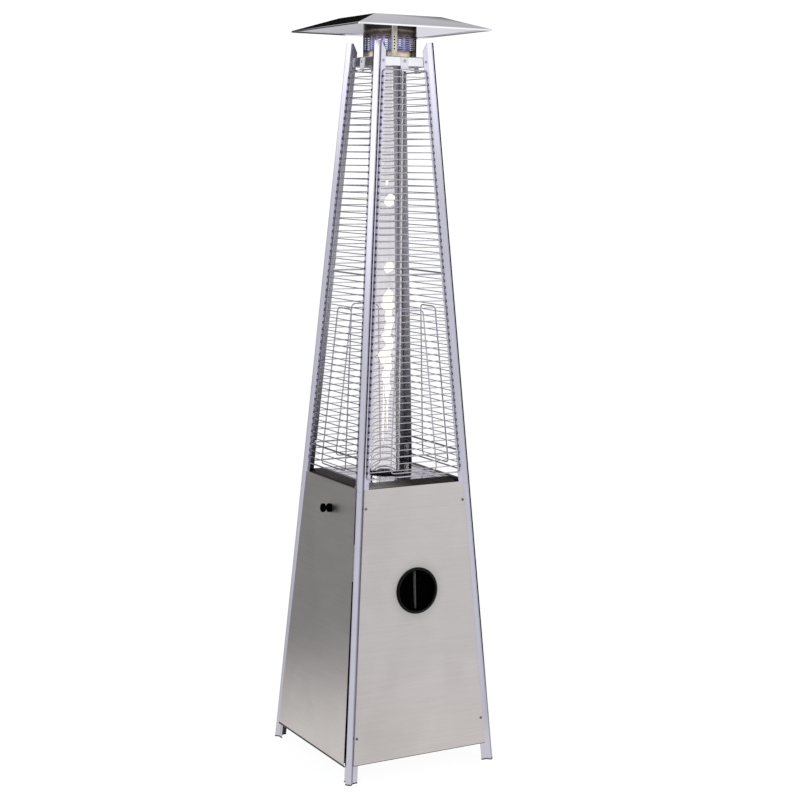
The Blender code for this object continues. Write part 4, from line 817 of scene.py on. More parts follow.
def wire(path, radius, sides=WIRE_SIDES, closed=False):
    """Round wire along a path, with domed ends, its rings carried on without twist."""
    path = [Vector(point) for point in path]
    count = len(path)
    side = Vector((0, 1, 0))
    rings = []
    for i, point in enumerate(path):
        before = path[i - 1] if i or closed else point
        after = path[(i + 1) % count] if i < count - 1 or closed else point
        tangent = (after - before).normalized()
        side = (side - tangent * side.dot(tangent)).normalized()
        rings.append((point, side, tangent, radius))
    if not closed:
        (foot, foot_side, foot_tangent, _), (head, head_side, head_tangent, _) = rings[0], rings[-1]
        dome, dome_r = radius * WIRE_DOME, radius * WIRE_DOME_R
        rings.insert(0, (foot - foot_tangent * dome, foot_side, foot_tangent, dome_r))
        rings.append((head + head_tangent * dome, head_side, head_tangent, dome_r))
    turns = [2 * math.pi * (i + 0.5) / sides for i in range(sides)]
    points = []
    for point, side, tangent, size in rings:
        other = tangent.cross(side)
        points.append([point + (side * math.cos(a) + other * math.sin(a)) * size for a in turns])
    return loft(points, closed=closed)


# Pieces


def mesh_object(name, bm, base=None):
    bmesh.ops.recalc_face_normals(bm, faces=bm.faces)
    mesh = bpy.data.meshes.new(name)
    bm.to_mesh(mesh)
    bm.free()
    if base:
        mesh.transform(base)
    item = bpy.data.objects.new(name, mesh)
    bpy.context.scene.collection.objects.link(item)
    return item


def carve(item, cuts):
    """Cuts shapes from an object, one after another, and keeps the result."""
    for i, bm in enumerate(cuts):
        guide = mesh_object(f"{item.name}_guide_{i}", bm)
        modifier = item.modifiers.new("carve", "BOOLEAN")
        modifier.operation = "DIFFERENCE"
        modifier.solver = "EXACT"
        modifier.object = guide
        bpy.context.view_layer.update()
        result = bpy.data.meshes.new_from_object(item.evaluated_get(bpy.context.evaluated_depsgraph_get()))
        item.modifiers.clear()
        item.data = result
        bpy.data.objects.remove(guide, do_unlink=True)


def piece(name, bm, slot, finish=None, node=None, body="frame", base=None, cuts=(), edge=0.0):
    """Places a piece, cuts it, gives it its finish and its body, and hides the solid that it stands for."""
    item = mesh_object(name, bm, base)
    carve(item, cuts)
    item.data.materials.clear()
    item.data.materials.append(FINISHES[finish or slot])
    item.data.shade_smooth()
    item.data.set_sharp_from_angle(angle=SMOOTH)
    if edge:
        bevel = item.modifiers.new("edge", "BEVEL")
        bevel.width = edge
        bevel.segments = 2
        bevel.limit_method = "ANGLE"
        bevel.angle_limit = EDGE_ANGLE
        bevel.harden_normals = True
    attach(item, body)
    if node:
        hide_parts(node)


def screw_mesh():
    """Low dome head with a cross recess, its seat at the origin and looking along Z."""
    profile = [(0, SCREW_HEAD_H)]
    for i in range(1, SCREW_STEPS + 1):
        share = i / SCREW_STEPS
        rise = SCREW_CROWN + (1 - SCREW_CROWN) * math.sqrt(1 - share**2)
        profile.append((SCREW_HEAD_R * share, SCREW_HEAD_H * rise))
    profile += [(SCREW_HEAD_R, 0), (0, 0)]
    item = mesh_object("screw", turned(profile, SCREW_SIDES))
    cross = []
    for x, y in ((RECESS_ARM, RECESS_HALF), (RECESS_HALF, RECESS_ARM)):
        cross.append(box((-x, -y, RECESS_FLOOR), (x, y, SCREW_HEAD_H + CUT_OVERRUN)))
    carve(item, cross)
    mesh = item.data
    bpy.data.objects.remove(item)
    return mesh


SCREW = screw_mesh()


def screws(name, spots, finish="chrome_wire"):
    """Screw heads on frames that look outward, each turned its own way."""
    bm = bmesh.new()
    for i, spot in enumerate(spots):
        copy = SCREW.copy()
        copy.transform(spot @ Matrix.Rotation(math.radians(SCREW_TURN_DEGREES * i), 4, "Z"))
        bm.from_mesh(copy)
        bpy.data.meshes.remove(copy)
    piece(name, bm, "zinc_steel", finish)


# Posts and feet


def corner_point(section, z):
    half = face_half(z)
    return (-half - section[0], -half - section[1], z)


def post_solid(low_z, high_z, end_drop=0.0):
    outline = folded_outline(POST_PATH, POST_SHEET, POST_BEND)
    upper = []
    for point in outline:
        share = (-min(point) - NOSE_ROOT) / FLANGE_WIDTH
        upper.append(corner_point(point, high_z - end_drop * min(max(share, 0.0), 1.0)))
    lower = [corner_point(point, low_z) for point in outline]
    return loft([lower, upper], strip_quads(len(outline)))


def flange_cutters(index):
    """Small holes and bar notches in the two flanges of an upper post."""
    cuts = []
    for face, side in ((index, -1), ((index - 1) % len(FACES), 1)):
        spot = flange_spots(face, FLANGE_HOLE_Z, 0, (side,))[0]
        cuts.append(cylinder(FLANGE_HOLE_R, -POST_SHEET - CUT_OVERRUN, CUT_OVERRUN, SCREW_SIDES, spot))
        for row in BAR_ROWS:
            z = row_z(row)
            edge = face_half(z) - FLANGE_END
            near, far = side * (edge - CUT_OVERRUN), side * (edge + NOTCH_DEPTH)
            low = (min(near, far), -CUT_OVERRUN, along(z) - NOTCH_HALF)
            high = (max(near, far), POST_SHEET + CUT_OVERRUN, along(z) + NOTCH_HALF)
            cuts.append(box(low, high, face_frame(face)))
    return cuts


def make_posts():
    path = [Vector(point) for point in POST_PATH[1:5]]
    path[0] += Vector((SPIGOT_LEAD, SPIGOT_LEAD))
    path[3] += Vector((SPIGOT_LEAD, SPIGOT_LEAD))
    spigot = folded_outline(beside(path, POST_SHEET + 2 * GAP), SPIGOT_SHEET, POST_BEND)
    spigot_ends = (SPLIT_Z - SPIGOT_HALF_LENGTH, SPLIT_Z + SPIGOT_HALF_LENGTH)
    foot = folded_outline(beside(POST_PATH, -FOOT_LIP), POST_SHEET + 2 * FOOT_LIP, POST_BEND + FOOT_LIP)
    for index, corner in enumerate(CORNERS):
        turn = quarter_turns(index)
        piece(
            "post_sheet_lower_" + corner, post_solid(FOOT_HEIGHT + GAP, SPLIT_Z), "post_steel",
            node="lower_post_" + corner, base=turn, edge=EDGE_ROUND,
        )
        piece(
            "post_sheet_upper_" + corner, post_solid(SPLIT_Z + GAP, POST_TOP_Z, FLANGE_TOP_CUT), "post_steel",
            node="upper_post_" + corner, base=turn, cuts=flange_cutters(index),
        )
        piece("post_spigot_" + corner, swept(spigot, corner_point, spigot_ends), "zinc_steel", base=turn)
        piece(
            "foot_cap_" + corner, swept(foot, corner_point, (0, FOOT_HEIGHT)), "rubber",
            node="foot_pad_" + corner, base=turn, edge=EDGE_ROUND,
        )


# Plates between the posts


def folded_tray(z, rim):
    """Square plate with a rim folded down from it, with round bends and corners."""
    outer, inner = [], []
    for i in range(BEND_STEPS + 1):
        angle = QUARTER * i / BEND_STEPS
        drop, inset = 1 - math.cos(angle), 1 - math.sin(angle)
        outer.append((z - PLATE_BEND * drop, PLATE_BEND * inset))
        bend = PLATE_BEND - PLATE_SHEET
        inner.append((z - PLATE_SHEET - bend * drop, PLATE_SHEET + bend * inset))
    rings = []
    for height, inset in outer + [(z - rim, 0), (z - rim, PLATE_SHEET)] + inner[::-1]:
        half = face_half(height) - PLATE_OUTSET - inset
        rings.append(rounded_square(half, height, PLATE_CORNER - inset))
    return loft(rings)


def pressed_sheet(centre, sheet, bend, corner):
    """Square sheet turned down at its edges, from the middle line of its section."""
    path = filleted(centre, bend)
    top, under = beside(path, -sheet / 2), beside(path, sheet / 2)
    return loft([rounded_square(half, z, corner(half)) for half, z in top[1:] + under[:0:-1]])


def plate_bore(z):
    return cylinder(PLATE_HOLE_R, z - PLATE_SHEET - CUT_OVERRUN, z + CUT_OVERRUN, ROUND_SIDES)


def make_hearth():
    """Flat top with four shallow slopes that end in a lip between the posts."""
    foot_z = HEARTH_Z - HEARTH_DEPTH
    shoulder_z = foot_z + HEARTH_LIP
    inset = PLATE_OUTSET + PLATE_SHEET / 2
    centre = [
        (0, HEARTH_Z - PLATE_SHEET / 2),
        (HEARTH_TOP_HALF, HEARTH_Z - PLATE_SHEET / 2),
        (face_half(shoulder_z) - inset, shoulder_z - PLATE_SHEET / 2),
        (face_half(foot_z) - inset, foot_z),
    ]
    sheet = pressed_sheet(centre, PLATE_SHEET, HEARTH_BEND, lambda half: HEARTH_CORNER)
    piece(
        "hearth_plate_sheet", sheet, "polished_steel", "hearth_steel", "hearth_plate",
        cuts=[plate_bore(HEARTH_Z)],
    )
    reach = BURNER_SCREW_REACH
    spots = [Matrix.Translation((x, y, HEARTH_Z)) for x in (-reach, reach) for y in (-reach, reach)]
    screws("hearth_screws", spots)


def make_top_plate():
    tray = folded_tray(TOP_PLATE_Z, TOP_PLATE_RIM)
    piece("top_plate_sheet", tray, "post_steel", "rim_steel", "top_plate", cuts=[plate_bore(TOP_PLATE_Z)])
    spots = [spot for index in range(4) for spot in flange_spots(index, TOP_SCREW_Z, 0)]
    screws("top_plate_screws", spots)


def make_hooks():
    sill = along(GUARD_SPAN[1]) - FRAME_WIRE_R - GAP
    head = along(TOP_PLATE_Z - HOOK_HEAD_DROP)
    front = PLATE_OUTSET - HOOK_SHEET
    nose = -GAP - 2 * FRAME_WIRE_R - GAP
    outer = [(front, head), (front, sill), (nose, sill), (nose, sill + HOOK_LIP)]
    outline = folded_outline(outer, -HOOK_SHEET, HOOK_BEND)
    ends = (-HOOK_WIDTH / 2, HOOK_WIDTH / 2)
    spots = []
    for index, face in enumerate(FACES):
        base = face_frame(index)
        strip = swept(outline, lambda point, x: Vector((x, *point)), ends)
        piece("guard_hook_" + face, strip, "post_steel", "dull_zinc", base=base, edge=EDGE_ROUND)
        spots.append(normal_frame(base, 0, -front, along(TOP_SCREW_Z)))
    screws("hook_screws", spots)


# Panels and door


def bent_panel(bottom, top, skin_out, foot_reach, head_reach, half_at):
    """Sheet whose head and foot are folded back, on a frame that looks along -Y."""
    outer = [(foot_reach, bottom), (-skin_out, bottom), (-skin_out, top), (head_reach, top)]
    outline = folded_outline(outer, PANEL_SHEET, PANEL_BEND)
    return swept(outline, lambda point, side: Vector((side * half_at(*point), *point)), (-1, 1))


def panel_half(y, height):
    edge = PANEL_EDGE if y < -GAP / 2 else FLANGE_END + PANEL_RETURN_INSET
    return face_half(height * math.cos(LEAN)) - edge


def make_panels():
    bottom, top = along(PANEL_BOTTOM_Z), along(PANEL_TOP_Z)
    for index, face in enumerate(FACES[:3]):
        name = face + "_panel"
        sheet = bent_panel(bottom, top, PANEL_OUTER, PANEL_RETURN, PANEL_RETURN, panel_half)
        cuts = []
        if face == "front":
            low, high = -CUT_OVERRUN, PANEL_OUTER + CUT_OVERRUN
            cuts.append(cylinder(CUP_R + GAP, low, high, ROUND_SIDES, CONTROL_FRAME))
        piece(name + "_sheet", sheet, "brushed_steel", node=name, base=face_frame(index), cuts=cuts)
        spots = [spot for z in PANEL_SCREW_HEIGHTS for spot in flange_spots(index, z, PANEL_OUTER)]
        screws(name + "_screws", spots, "dark_zinc")


def door_half(y, height):
    z = (height + along(DOOR_AXIS_Z)) * math.cos(LEAN)
    edge = DOOR_EDGE if y < -DOOR_AXIS_INSET + GAP else DOOR_EDGE + DOOR_SHEET
    return face_half(z) - edge


def door_tab(side):
    """Stiffener folded back from one edge of the door."""
    low, high = (door_height(z) for z in DOOR_TAB_SPAN)
    skin = -DOOR_AXIS_INSET + GAP / 2
    back = DOOR_AXIS_OUT - DOOR_CLEARANCE - GAP - high * math.tan(DOOR_TILT)
    rows = []
    for height in (low, high):
        outer = door_half(-DOOR_SKIN_OUT, height) - GAP
        inner = outer - DOOR_SHEET
        section = ((outer, skin), (outer, back), (inner, back), (inner, skin))
        rows.append([Vector((side * x, y, height)) for x, y in section])
    return loft(rows)


def make_door():
    foot, head = door_height(DOOR_BOTTOM_Z), door_height(DOOR_TOP_Z)
    head_reach = DOOR_AXIS_OUT - DOOR_CLEARANCE - head * math.tan(DOOR_TILT)
    sheet = bent_panel(foot, head, DOOR_SKIN_OUT, DOOR_FOOT_RETURN - DOOR_AXIS_INSET, head_reach, door_half)
    notches = []
    for x in (-HINGE_FROM_CENTRE, HINGE_FROM_CENTRE):
        low = (x - HINGE_NOTCH_HALF, -DOOR_AXIS_INSET + GAP, foot - CUT_OVERRUN)
        high = (x + HINGE_NOTCH_HALF, DOOR_FOOT_RETURN, foot + DOOR_SHEET + CUT_OVERRUN)
        notches.append(box(low, high, DOOR_FRAME))
    piece("door_sheet", sheet, "brushed_steel", node="door_panel", body="door", base=DOOR_FRAME, cuts=notches)
    piece(
        "door_side_tabs", gathered(door_tab(side) for side in (-1, 1)), "brushed_steel", "rim_steel",
        body="door", base=DOOR_FRAME, edge=EDGE_ROUND,
    )


# Turned pieces: frame, sides, rounding, section as radius and height, slot, finish, solid and body
TURNED = {
    "door_pull": (
        DOOR_KNOB_FRAME, 48, 0.0018,
        ((0, 0), (0.0135, 0), (0.0135, 0.007), (0.0065, 0.0088),
         (0.0065, 0.0182), (0.0135, 0.020), (0.0135, 0.028), (0, 0.028)),
        "black_plastic", None, "door_knob", "door",
    ),
    "control_ring": (
        CONTROL_FRAME, ROUND_SIDES, 0.0006,
        ((0.0706, 0.0016), (0.0706, 0.0036), (0.0665, 0.0056),
         (0.0640, 0.0081), (0.0615, 0.0056), (0.0615, 0.0016)),
        "black_plastic", "gloss_plastic", "control_bezel",
    ),
    "control_well": (
        CONTROL_FRAME, ROUND_SIDES, 0.0004,
        ((CUP_R, 0.0013), (CUP_R, -0.030), (0.0075, -0.030),
         (0.0075, -0.0285), (0.0632, -0.0285), (0.0632, 0.0013)),
        "black_plastic", None, "control_cup",
    ),
    "control_dial": (
        CONTROL_FRAME, ROUND_SIDES, 0.0005,
        ((0, -0.0166), (0.0531, -0.0166), (0.05487, -0.016), (KNOB_R, -0.016),
         (KNOB_R, -0.021), (0.012, -0.021), (0.012, -0.0235), (0, -0.0235)),
        "black_plastic", None, "control_knob", "knob",
    ),
    "tube_glass": (
        None, ROUND_SIDES, 0.001,
        ((0.045, 0.8896), (0.045, 2.1428), (0.0425, 2.1428), (0.0425, 0.8896)),
        "glass", None, "glass_tube",
    ),
    "tube_foot_ring": (
        None, ROUND_SIDES, 0.0014,
        ((0.0521, 0.8873), (0.0521, 0.8933), (0.0456, 0.8933), (0.0456, 0.8873)),
        "black_iron", None, "tube_base_ring",
    ),
    "tube_head_collar": (
        None, ROUND_SIDES, 0.0014,
        ((0.0521, 2.1285), (0.0521, 2.1465), (0.0456, 2.1465), (0.0456, 2.1285)),
        "black_iron", None, "tube_top_collar",
    ),
}


def make_turned():
    """Knobs and rings; a section that keeps off the axis is closed."""
    for name, (base, sides, fillet, line, *looks) in TURNED.items():
        section = filleted(line, fillet, closed=line[0][0] > 0)
        piece(name, turned(section, sides, base), *looks)


# Control


def make_grip():
    """Upright bar on the knob, wider at its head."""
    face = -KNOB_FACE_DEPTH
    reach = KNOB_R - BLADE_END_INSET
    shoulder, crest = face + BLADE_HEIGHT - BLADE_CROWN, face + GAP + BLADE_HEIGHT
    rings = []
    for height, shrink in ((face + GAP, 0), (shoulder, 0), (crest, BLADE_CROWN)):
        foot, head = BLADE_FOOT_WIDTH / 2 - shrink, BLADE_HEAD_WIDTH / 2 - shrink
        corners = [(-foot, shrink - reach, height), (foot, shrink - reach, height)]
        corners += [(head, reach - shrink, height), (-head, reach - shrink, height)]
        rings.append(filleted(corners, BLADE_ROUND, CORNER_STEPS, closed=True))
    piece(
        "control_grip", loft(rings), "grip_plastic", node="knob_grip_bar", body="knob",
        base=CONTROL_FRAME, edge=EDGE_ROUND,
    )


# Burner and flame


def make_burner():
    """Cast head with a crown of slots round its edge."""
    crown = turned(filleted(BURNER_LINE, BURNER_ROUND, CORNER_STEPS), ROUND_SIDES // 2)
    turns = [Matrix.Rotation(2 * math.pi * i / BURNER_PORTS, 4, "Z") for i in range(BURNER_PORTS)]
    ports = gathered(box(PORT_LOW, PORT_HIGH, turn) for turn in turns)
    piece("burner_crown", crown, "black_iron", node="burner_head", cuts=[ports])


def tongue(number, low, high, radius, drift_x, drift_y):
    """One lazy tongue of burning gas."""
    rings = []
    for row in range(1, FLAME_RINGS):
        share = row / FLAME_RINGS
        height = low + (high - low) * share
        swell = math.sin(math.pi * share) ** FLAME_FULLNESS
        sway = noise.noise(Vector((number, height * FLAME_SWAY_RATE, 0)))
        mid_x = drift_x + radius * FLAME_SWAY[0] * sway
        mid_y = drift_y + radius * FLAME_SWAY[1] * sway
        ring = []
        for i in range(FLAME_SIDES):
            angle = 2 * math.pi * i / FLAME_SIDES
            x, y = math.cos(angle), math.sin(angle)
            lick = noise.noise(Vector((x + number, y, height * FLAME_LICK_RATE)))
            size = radius * swell * (FLAME_LICK[0] + FLAME_LICK[1] * lick)
            ring.append((mid_x + size * x, mid_y + size * y, height))
        rings.append(ring)
    return loft(rings)


def make_flame():
    tongues = gathered(tongue(number, *row) for number, row in enumerate(FLAMES))
    piece("flame_tongues", tongues, "ceramic", "flame")


# Screen and reflector


def wrapped(radius, angle, z):
    return Vector((radius * math.cos(angle), radius * math.sin(angle), z))


def cell_points():
    """Points round a cell of the screen's grid and as many round its slot, from the cell's middle."""
    border, slot = [], []
    for i in range(SLOT_POINTS):
        angle = 2 * math.pi * i / SLOT_POINTS
        x, y = math.cos(angle), math.sin(angle)
        scale = 1 / max(abs(x), abs(y))
        border.append((SLOT_TURN * SCREEN_R / 2 * x * scale, SLOT_PITCH / 2 * y * scale))
        shift = (SLOT_HALF_WIDTH - SLOT_HALF_HEIGHT) * min(max(x / SLOT_END_SHARE, -1.0), 1.0)
        slot.append((shift + SLOT_HALF_HEIGHT * x, SLOT_HALF_HEIGHT * y))
    return border, slot


def edges_at(edges, z):
    return [edge for edge in edges if all(abs(vert.co.z - z) < LEVEL_SLACK for vert in edge.verts)]


def make_screen():
    """Rolled sheet with rows of slots, and plain bands above and below them."""
    bm = bmesh.new()
    for column in range(SLOT_COLUMNS):
        for row in range(SLOT_ROWS):
            angle, middle = SEAM_ANGLE + SLOT_TURN * column, SLOT_SPAN[0] + SLOT_PITCH * (row + 0.5)
            loops = []
            for points in cell_points():
                for radius in (SCREEN_R, SCREEN_R - SCREEN_SHEET):
                    spots = [wrapped(radius, angle + x / SCREEN_R, middle + z) for x, z in points]
                    loops.append([bm.verts.new(spot) for spot in spots])
            border_out, border_in, slot_out, slot_in = loops
            for i in range(SLOT_POINTS):
                j = (i + 1) % SLOT_POINTS
                bm.faces.new((border_out[i], border_out[j], slot_out[j], slot_out[i]))
                bm.faces.new((border_in[j], border_in[i], slot_in[i], slot_in[j]))
                bm.faces.new((slot_out[i], slot_out[j], slot_in[j], slot_in[i]))
    bmesh.ops.remove_doubles(bm, verts=bm.verts, dist=WELD_DISTANCE)
    open_edges = [edge for edge in bm.edges if len(edge.link_faces) == 1]
    for level, end in zip(SLOT_SPAN, SCREEN_SPAN):
        made = bmesh.ops.extrude_edge_only(bm, edges=edges_at(open_edges, level))["geom"]
        for vert in made:
            if isinstance(vert, bmesh.types.BMVert):
                vert.co.z = end
        made_edges = [item for item in made if isinstance(item, bmesh.types.BMEdge)]
        bmesh.ops.bridge_loops(bm, edges=edges_at(made_edges, end))
    piece("screen_sheet", bm, "heat_steel", node="flame_screen")


def make_seam():
    """Overlap strip down the screen's front, with its rivets."""
    outer, inner = [], []
    for i in range(SEAM_STEPS + 1):
        angle = SEAM_ANGLE + SEAM_HALF_ANGLE * (2 * i / SEAM_STEPS - 1)
        outer.append(wrapped(SCREEN_R + SCREEN_SHEET, angle, 0))
        inner.append(wrapped(SCREEN_R + GAP / 10, angle, 0))
    ends = (SCREEN_SPAN[0] + SEAM_INSET, SCREEN_SPAN[1] - SEAM_INSET)
    strip = swept(outer + inner[::-1], lambda point, z: point + Vector((0, 0, z)), ends)
    piece("screen_seam_strip", strip, "heat_steel", "seam_tint_and_highlight", edge=EDGE_ROUND)
    low, high = SLOT_SPAN
    outward = Matrix.Rotation(SEAM_ANGLE, 4, "Z") @ Matrix.Rotation(QUARTER, 4, "Y")
    rivets = []
    for row in range(RIVETS):
        z = low + (high - low) * (row + 0.5) / RIVETS
        spot = Matrix.Translation(wrapped(RIVET_SEAT, SEAM_ANGLE, z))
        rivets.append(turned(RIVET_LINE, RIVET_SIDES, spot @ outward))
    piece("screen_rivets", gathered(rivets), "heat_steel", "black_iron")


def make_reflector():
    """Square pressed sheet: flat crown, four slopes and a short lip."""
    half_sheet = REFLECTOR_SHEET / 2
    eave_z = CROWN_Z - REFLECTOR_DEPTH
    centre = [
        (0, CROWN_Z - half_sheet),
        (CROWN_HALF, CROWN_Z - half_sheet),
        (EAVE_HALF - half_sheet, eave_z),
        (EAVE_HALF - half_sheet, eave_z - EAVE_LIP),
    ]

    def corner(half):
        share = (half - CROWN_HALF) / (EAVE_HALF - CROWN_HALF)
        return CROWN_CORNER + EAVE_CORNER_EXTRA * max(share, 0.0)

    sheet = pressed_sheet(centre, REFLECTOR_SHEET, REFLECTOR_BEND, corner)
    piece("reflector_sheet", sheet, "polished_steel", node="reflector")
    spots = []
    for i in range(4):
        around = Matrix.Rotation(math.pi / 4 + QUARTER * i, 4, "Z")
        spots.append(around @ Matrix.Translation((REFLECTOR_SCREW_R, 0, CROWN_Z)))
    screws("reflector_screws", spots)


# Guards


def cross_wire(z, half, depth, radius, sides=WIRE_SIDES):
    return wire([(-half, depth, along(z)), (half, depth, along(z))], radius, sides)


def inner_half(z):
    """Half the width of a guard between the middles of its border wires."""
    return face_half(z) - GUARD_EDGE - FRAME_WIRE_R


def make_guards():
    depth = -GAP - FRAME_WIRE_R
    corners = []
    for z, sides in ((GUARD_SPAN[0], (-1, 1)), (GUARD_SPAN[1], (1, -1))):
        corners += [(side * inner_half(z), depth, along(z)) for side in sides]
    border_path = filleted(corners, GUARD_BEND, WIRE_BEND_STEPS, closed=True)
    foot, head = (along(z) for z in LOOP_SPAN)
    corners = [
        (-LOOP_FOOT_HALF, LOOP_DEPTH, foot),
        (-LOOP_HEAD_HALF, LOOP_DEPTH, head),
        (LOOP_HEAD_HALF, LOOP_DEPTH, head),
        (LOOP_FOOT_HALF, LOOP_DEPTH, foot),
    ]
    loop_path = filleted(corners, LOOP_BEND, WIRE_BEND_STEPS, closed=True)
    for index, face in enumerate(FACES):
        base = face_frame(index)
        border = wire(border_path, FRAME_WIRE_R, BORDER_WIRE_SIDES, closed=True)
        piece("guard_border_" + face, border, "chrome_wire", "wire_shaded_at_crossings", "guard_" + face, base=base)
        rows = [row_z(row) for row in range(1, GUARD_ROWS)]
        wires = gathered(cross_wire(z, inner_half(z), depth, WIRE_R, THIN_WIRE_SIDES) for z in rows)
        piece("guard_wires_" + face, wires, "chrome_wire", base=base)
        bars = []
        for z in map(row_z, BAR_ROWS):
            reach = face_half(z) - FLANGE_END + NOTCH_DEPTH - BAR_END_PLAY
            bars.append(cross_wire(z, reach, BAR_DEPTH, BAR_R))
        piece("guard_bars_" + face, gathered(bars), "chrome_wire", base=base)
        piece("guard_loop_" + face, wire(loop_path, LOOP_R, closed=True), "chrome_wire", base=base)


# Solids that keep their shape


def dress_solids():
    for part in frame["record"]["subparts"]:
        for holder in frame["nodes"][part["node"]].material_slots:
            holder.material = FINISHES[part["material_slot"]]


# Studio: light of the surroundings, and the node, share and strength of the white that is seen

WORLD_COLOUR = (0.93, 0.94, 1.0, 1)
WORLD_STRENGTH = 0.75
WORLD_WHITE = ("Background", 1.0, 1.06)
FLOOR_HALF = 30
FLOOR_WHITE = ("Emission", 0.9, 1.04)


def seen_as_white(tree, shader, kind, share, strength):
    """Mixes white into what the camera, metal and glass see of a shader."""
    path = add_node(tree, "LightPath").outputs
    seen = path["Is Camera Ray"]
    for name in ("Is Glossy Ray", "Is Transmission Ray"):
        seen = add_node(tree, "Math", {0: seen, 1: path[name]}, operation="MAXIMUM").outputs[0]
    factor = add_node(tree, "Math", {0: seen, 1: share}, operation="MULTIPLY").outputs[0]
    white = add_node(tree, kind, {"Color": (1, 1, 1, 1), "Strength": strength}).outputs[0]
    mix = add_node(tree, "MixShader", {0: factor, 1: shader.outputs[0], 2: white}).outputs[0]
    output = next(node for node in tree.nodes if node.bl_idname.startswith("ShaderNodeOutput"))
    tree.links.new(mix, output.inputs["Surface"])


def make_world():
    world = bpy.data.worlds.new("studio")
    bpy.context.scene.world = world
    world.use_nodes = True
    background = world.node_tree.nodes["Background"]
    background.inputs["Color"].default_value = WORLD_COLOUR
    background.inputs["Strength"].default_value = WORLD_STRENGTH
    seen_as_white(world.node_tree, background, *WORLD_WHITE)


def make_floor():
    bm = bmesh.new()
    corners = [(x * FLOOR_HALF, y * FLOOR_HALF, 0) for x, y in ((-1, -1), (1, -1), (1, 1), (-1, 1))]
    bm.faces.new([bm.verts.new(corner) for corner in corners])
    floor = mesh_object("studio_floor", bm)
    finish = Finish("studio_floor", (0.9, 0.9, 0.9), 0.9)
    seen_as_white(finish.tree, finish.shader, *FLOOR_WHITE)
    floor.data.materials.append(finish.material)


# Round wall that only metal and glass reflect: heights where its bands meet, and shades by direction
WALL_R = 4.2
WALL_TOP = 6.0
WALL_FLOOR_Z = 0.003
WALL_FLOOR_SPAN = (0.3, 1.7)
WALL_FLOOR_SHADE = 0.75
WALL_BLUE = 1.04
WALL_MIDDLE = (1.8, 2.4)
WALL_HIGH = (3.7, 4.3)
WALL_SHADES = {
    "low": (
        (-180, 0.45), (-167, 0.68), (-151, 0.74), (-124, 0.72), (-113, 0.50), (-104, 0.10), (-100, 0.10),
        (-88, 0.35), (-76, 0.74), (-61, 0.76), (-46, 0.72), (-20, 0.50), (-4, 0.08), (10, 0.04), (44, 0.04),
        (56, 0.60), (66, 0.88), (88, 0.86), (102, 0.45), (119, 0.22), (132, 0.23), (150, 0.50), (180, 0.45),
    ),
    "middle": (
        (-180, 1.00), (-166, 1.50), (-138, 1.50), (-130, 0.90), (-124, 0.35), (-121, 0.90), (-117, 0.35),
        (-112, 0.12), (-108, 0.15), (-105, 1.10), (-94, 1.10), (-90, 0.25), (-84, 0.60), (-76, 1.00),
        (-61, 1.05), (-45, 0.90), (-20, 0.50), (10, 0.06), (44, 0.04), (56, 0.008), (74, 0.008), (90, 0.06),
        (110, 0.09), (136, 0.09), (146, 0.90), (180, 1.00),
    ),
    "high": (
        (-180, 0.60), (-119, 0.55), (-61, 0.90), (-10, 0.60), (40, 0.45), (57, 0.60), (90, 0.65),
        (119, 0.40), (180, 0.60),
    ),
}


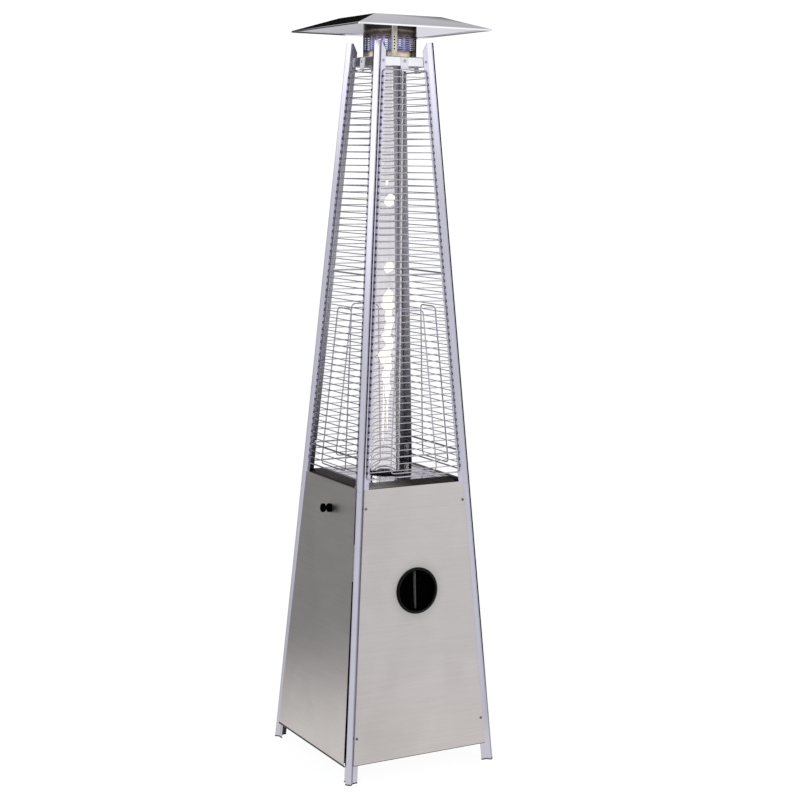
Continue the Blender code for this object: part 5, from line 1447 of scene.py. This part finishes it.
def make_wall():
    """Drum round the object, shaded softly by direction."""
    wall = mesh_object("studio_wall", cylinder(WALL_R, WALL_FLOOR_Z, WALL_TOP, ROUND_SIDES))
    finish = Finish("studio_wall", (0, 0, 0), 1.0, Specular_IOR_Level=0.0, Emission_Strength=1.0)
    x, y, z = finish.sides()
    direction = finish.span(finish.math("ARCTAN2", y, x), 0, 1, -math.pi, math.pi)
    away = finish.span(finish.math("SQRT", finish.products(x, x, y, y)), 0, 1, *WALL_FLOOR_SPAN)
    bands = {}
    for name, shades in WALL_SHADES.items():
        stops = [((angle + 180) / 360, (shade, shade, shade * WALL_BLUE)) for angle, shade in shades]
        bands[name] = finish.ramp(direction, stops)
    floor = finish.blend(away, [WALL_FLOOR_SHADE] * 3, bands["low"])
    lower = finish.blend(finish.span(z, 0, 1, *WALL_MIDDLE), floor, bands["middle"])
    finish.drive("Emission Color", finish.blend(finish.span(z, 0, 1, *WALL_HIGH), lower, bands["high"]))
    finish.material.cycles.emission_sampling = "NONE"
    wall.data.materials.append(finish.material)
    for ray in ("camera", "diffuse", "transmission", "volume_scatter", "shadow"):
        setattr(wall, "visible_" + ray, False)


# Soft lamps: place, width, height and power in watts
LAMPS = {
    "key_softbox": ((-3.4, -2.6, 3.4), 2.4, 2.8, 50),
    "fill_softbox": ((3.0, -3.4, 2.4), 2.4, 2.4, 28),
    "rear_softbox": ((0.5, 3.6, 3.0), 2.6, 2.0, 26),
}
LAMP_AIM = Vector((0, 0, 1.1))


def make_lamps():
    for name, (place, width, height, watts) in LAMPS.items():
        lamp = bpy.data.lights.new(name, "AREA")
        lamp.shape = "RECTANGLE"
        lamp.size, lamp.size_y = width, height
        lamp.energy = watts
        item = bpy.data.objects.new(name, lamp)
        item.visible_glossy = False
        bpy.context.scene.collection.objects.link(item)
        aim = (LAMP_AIM - Vector(place)).to_track_quat("-Z", "Y").to_matrix().to_4x4()
        item.matrix_world = Matrix.Translation(place) @ aim


def make_camera():
    camera = bpy.data.cameras.new("photo_camera")
    camera.sensor_width = SENSOR_MM
    camera.lens = CAMERA_FOCAL_PIXELS / PHOTO_PIXELS * SENSOR_MM
    camera.clip_end = CAMERA_FAR
    item = bpy.data.objects.new("photo_camera", camera)
    bpy.context.scene.collection.objects.link(item)
    matrix = Matrix.Translation(CAMERA_PLACE)
    for angle, axis in ((CAMERA_YAW, "Z"), (CAMERA_PITCH, "X"), (CAMERA_ROLL, "Y"), (QUARTER, "X")):
        matrix = matrix @ Matrix.Rotation(angle, 4, axis)
    item.matrix_world = matrix
    bpy.context.scene.camera = item


make_finishes()
dress_solids()
make_posts()
make_hearth()
make_top_plate()
make_hooks()
make_panels()
make_door()
make_turned()
make_grip()
make_burner()
make_flame()
make_screen()
make_seam()
make_reflector()
make_guards()
make_world()
make_floor()
make_wall()
make_lamps()
make_camera()
bpy.context.scene.view_settings.view_transform = "Standard"
bpy.context.view_layer.update()
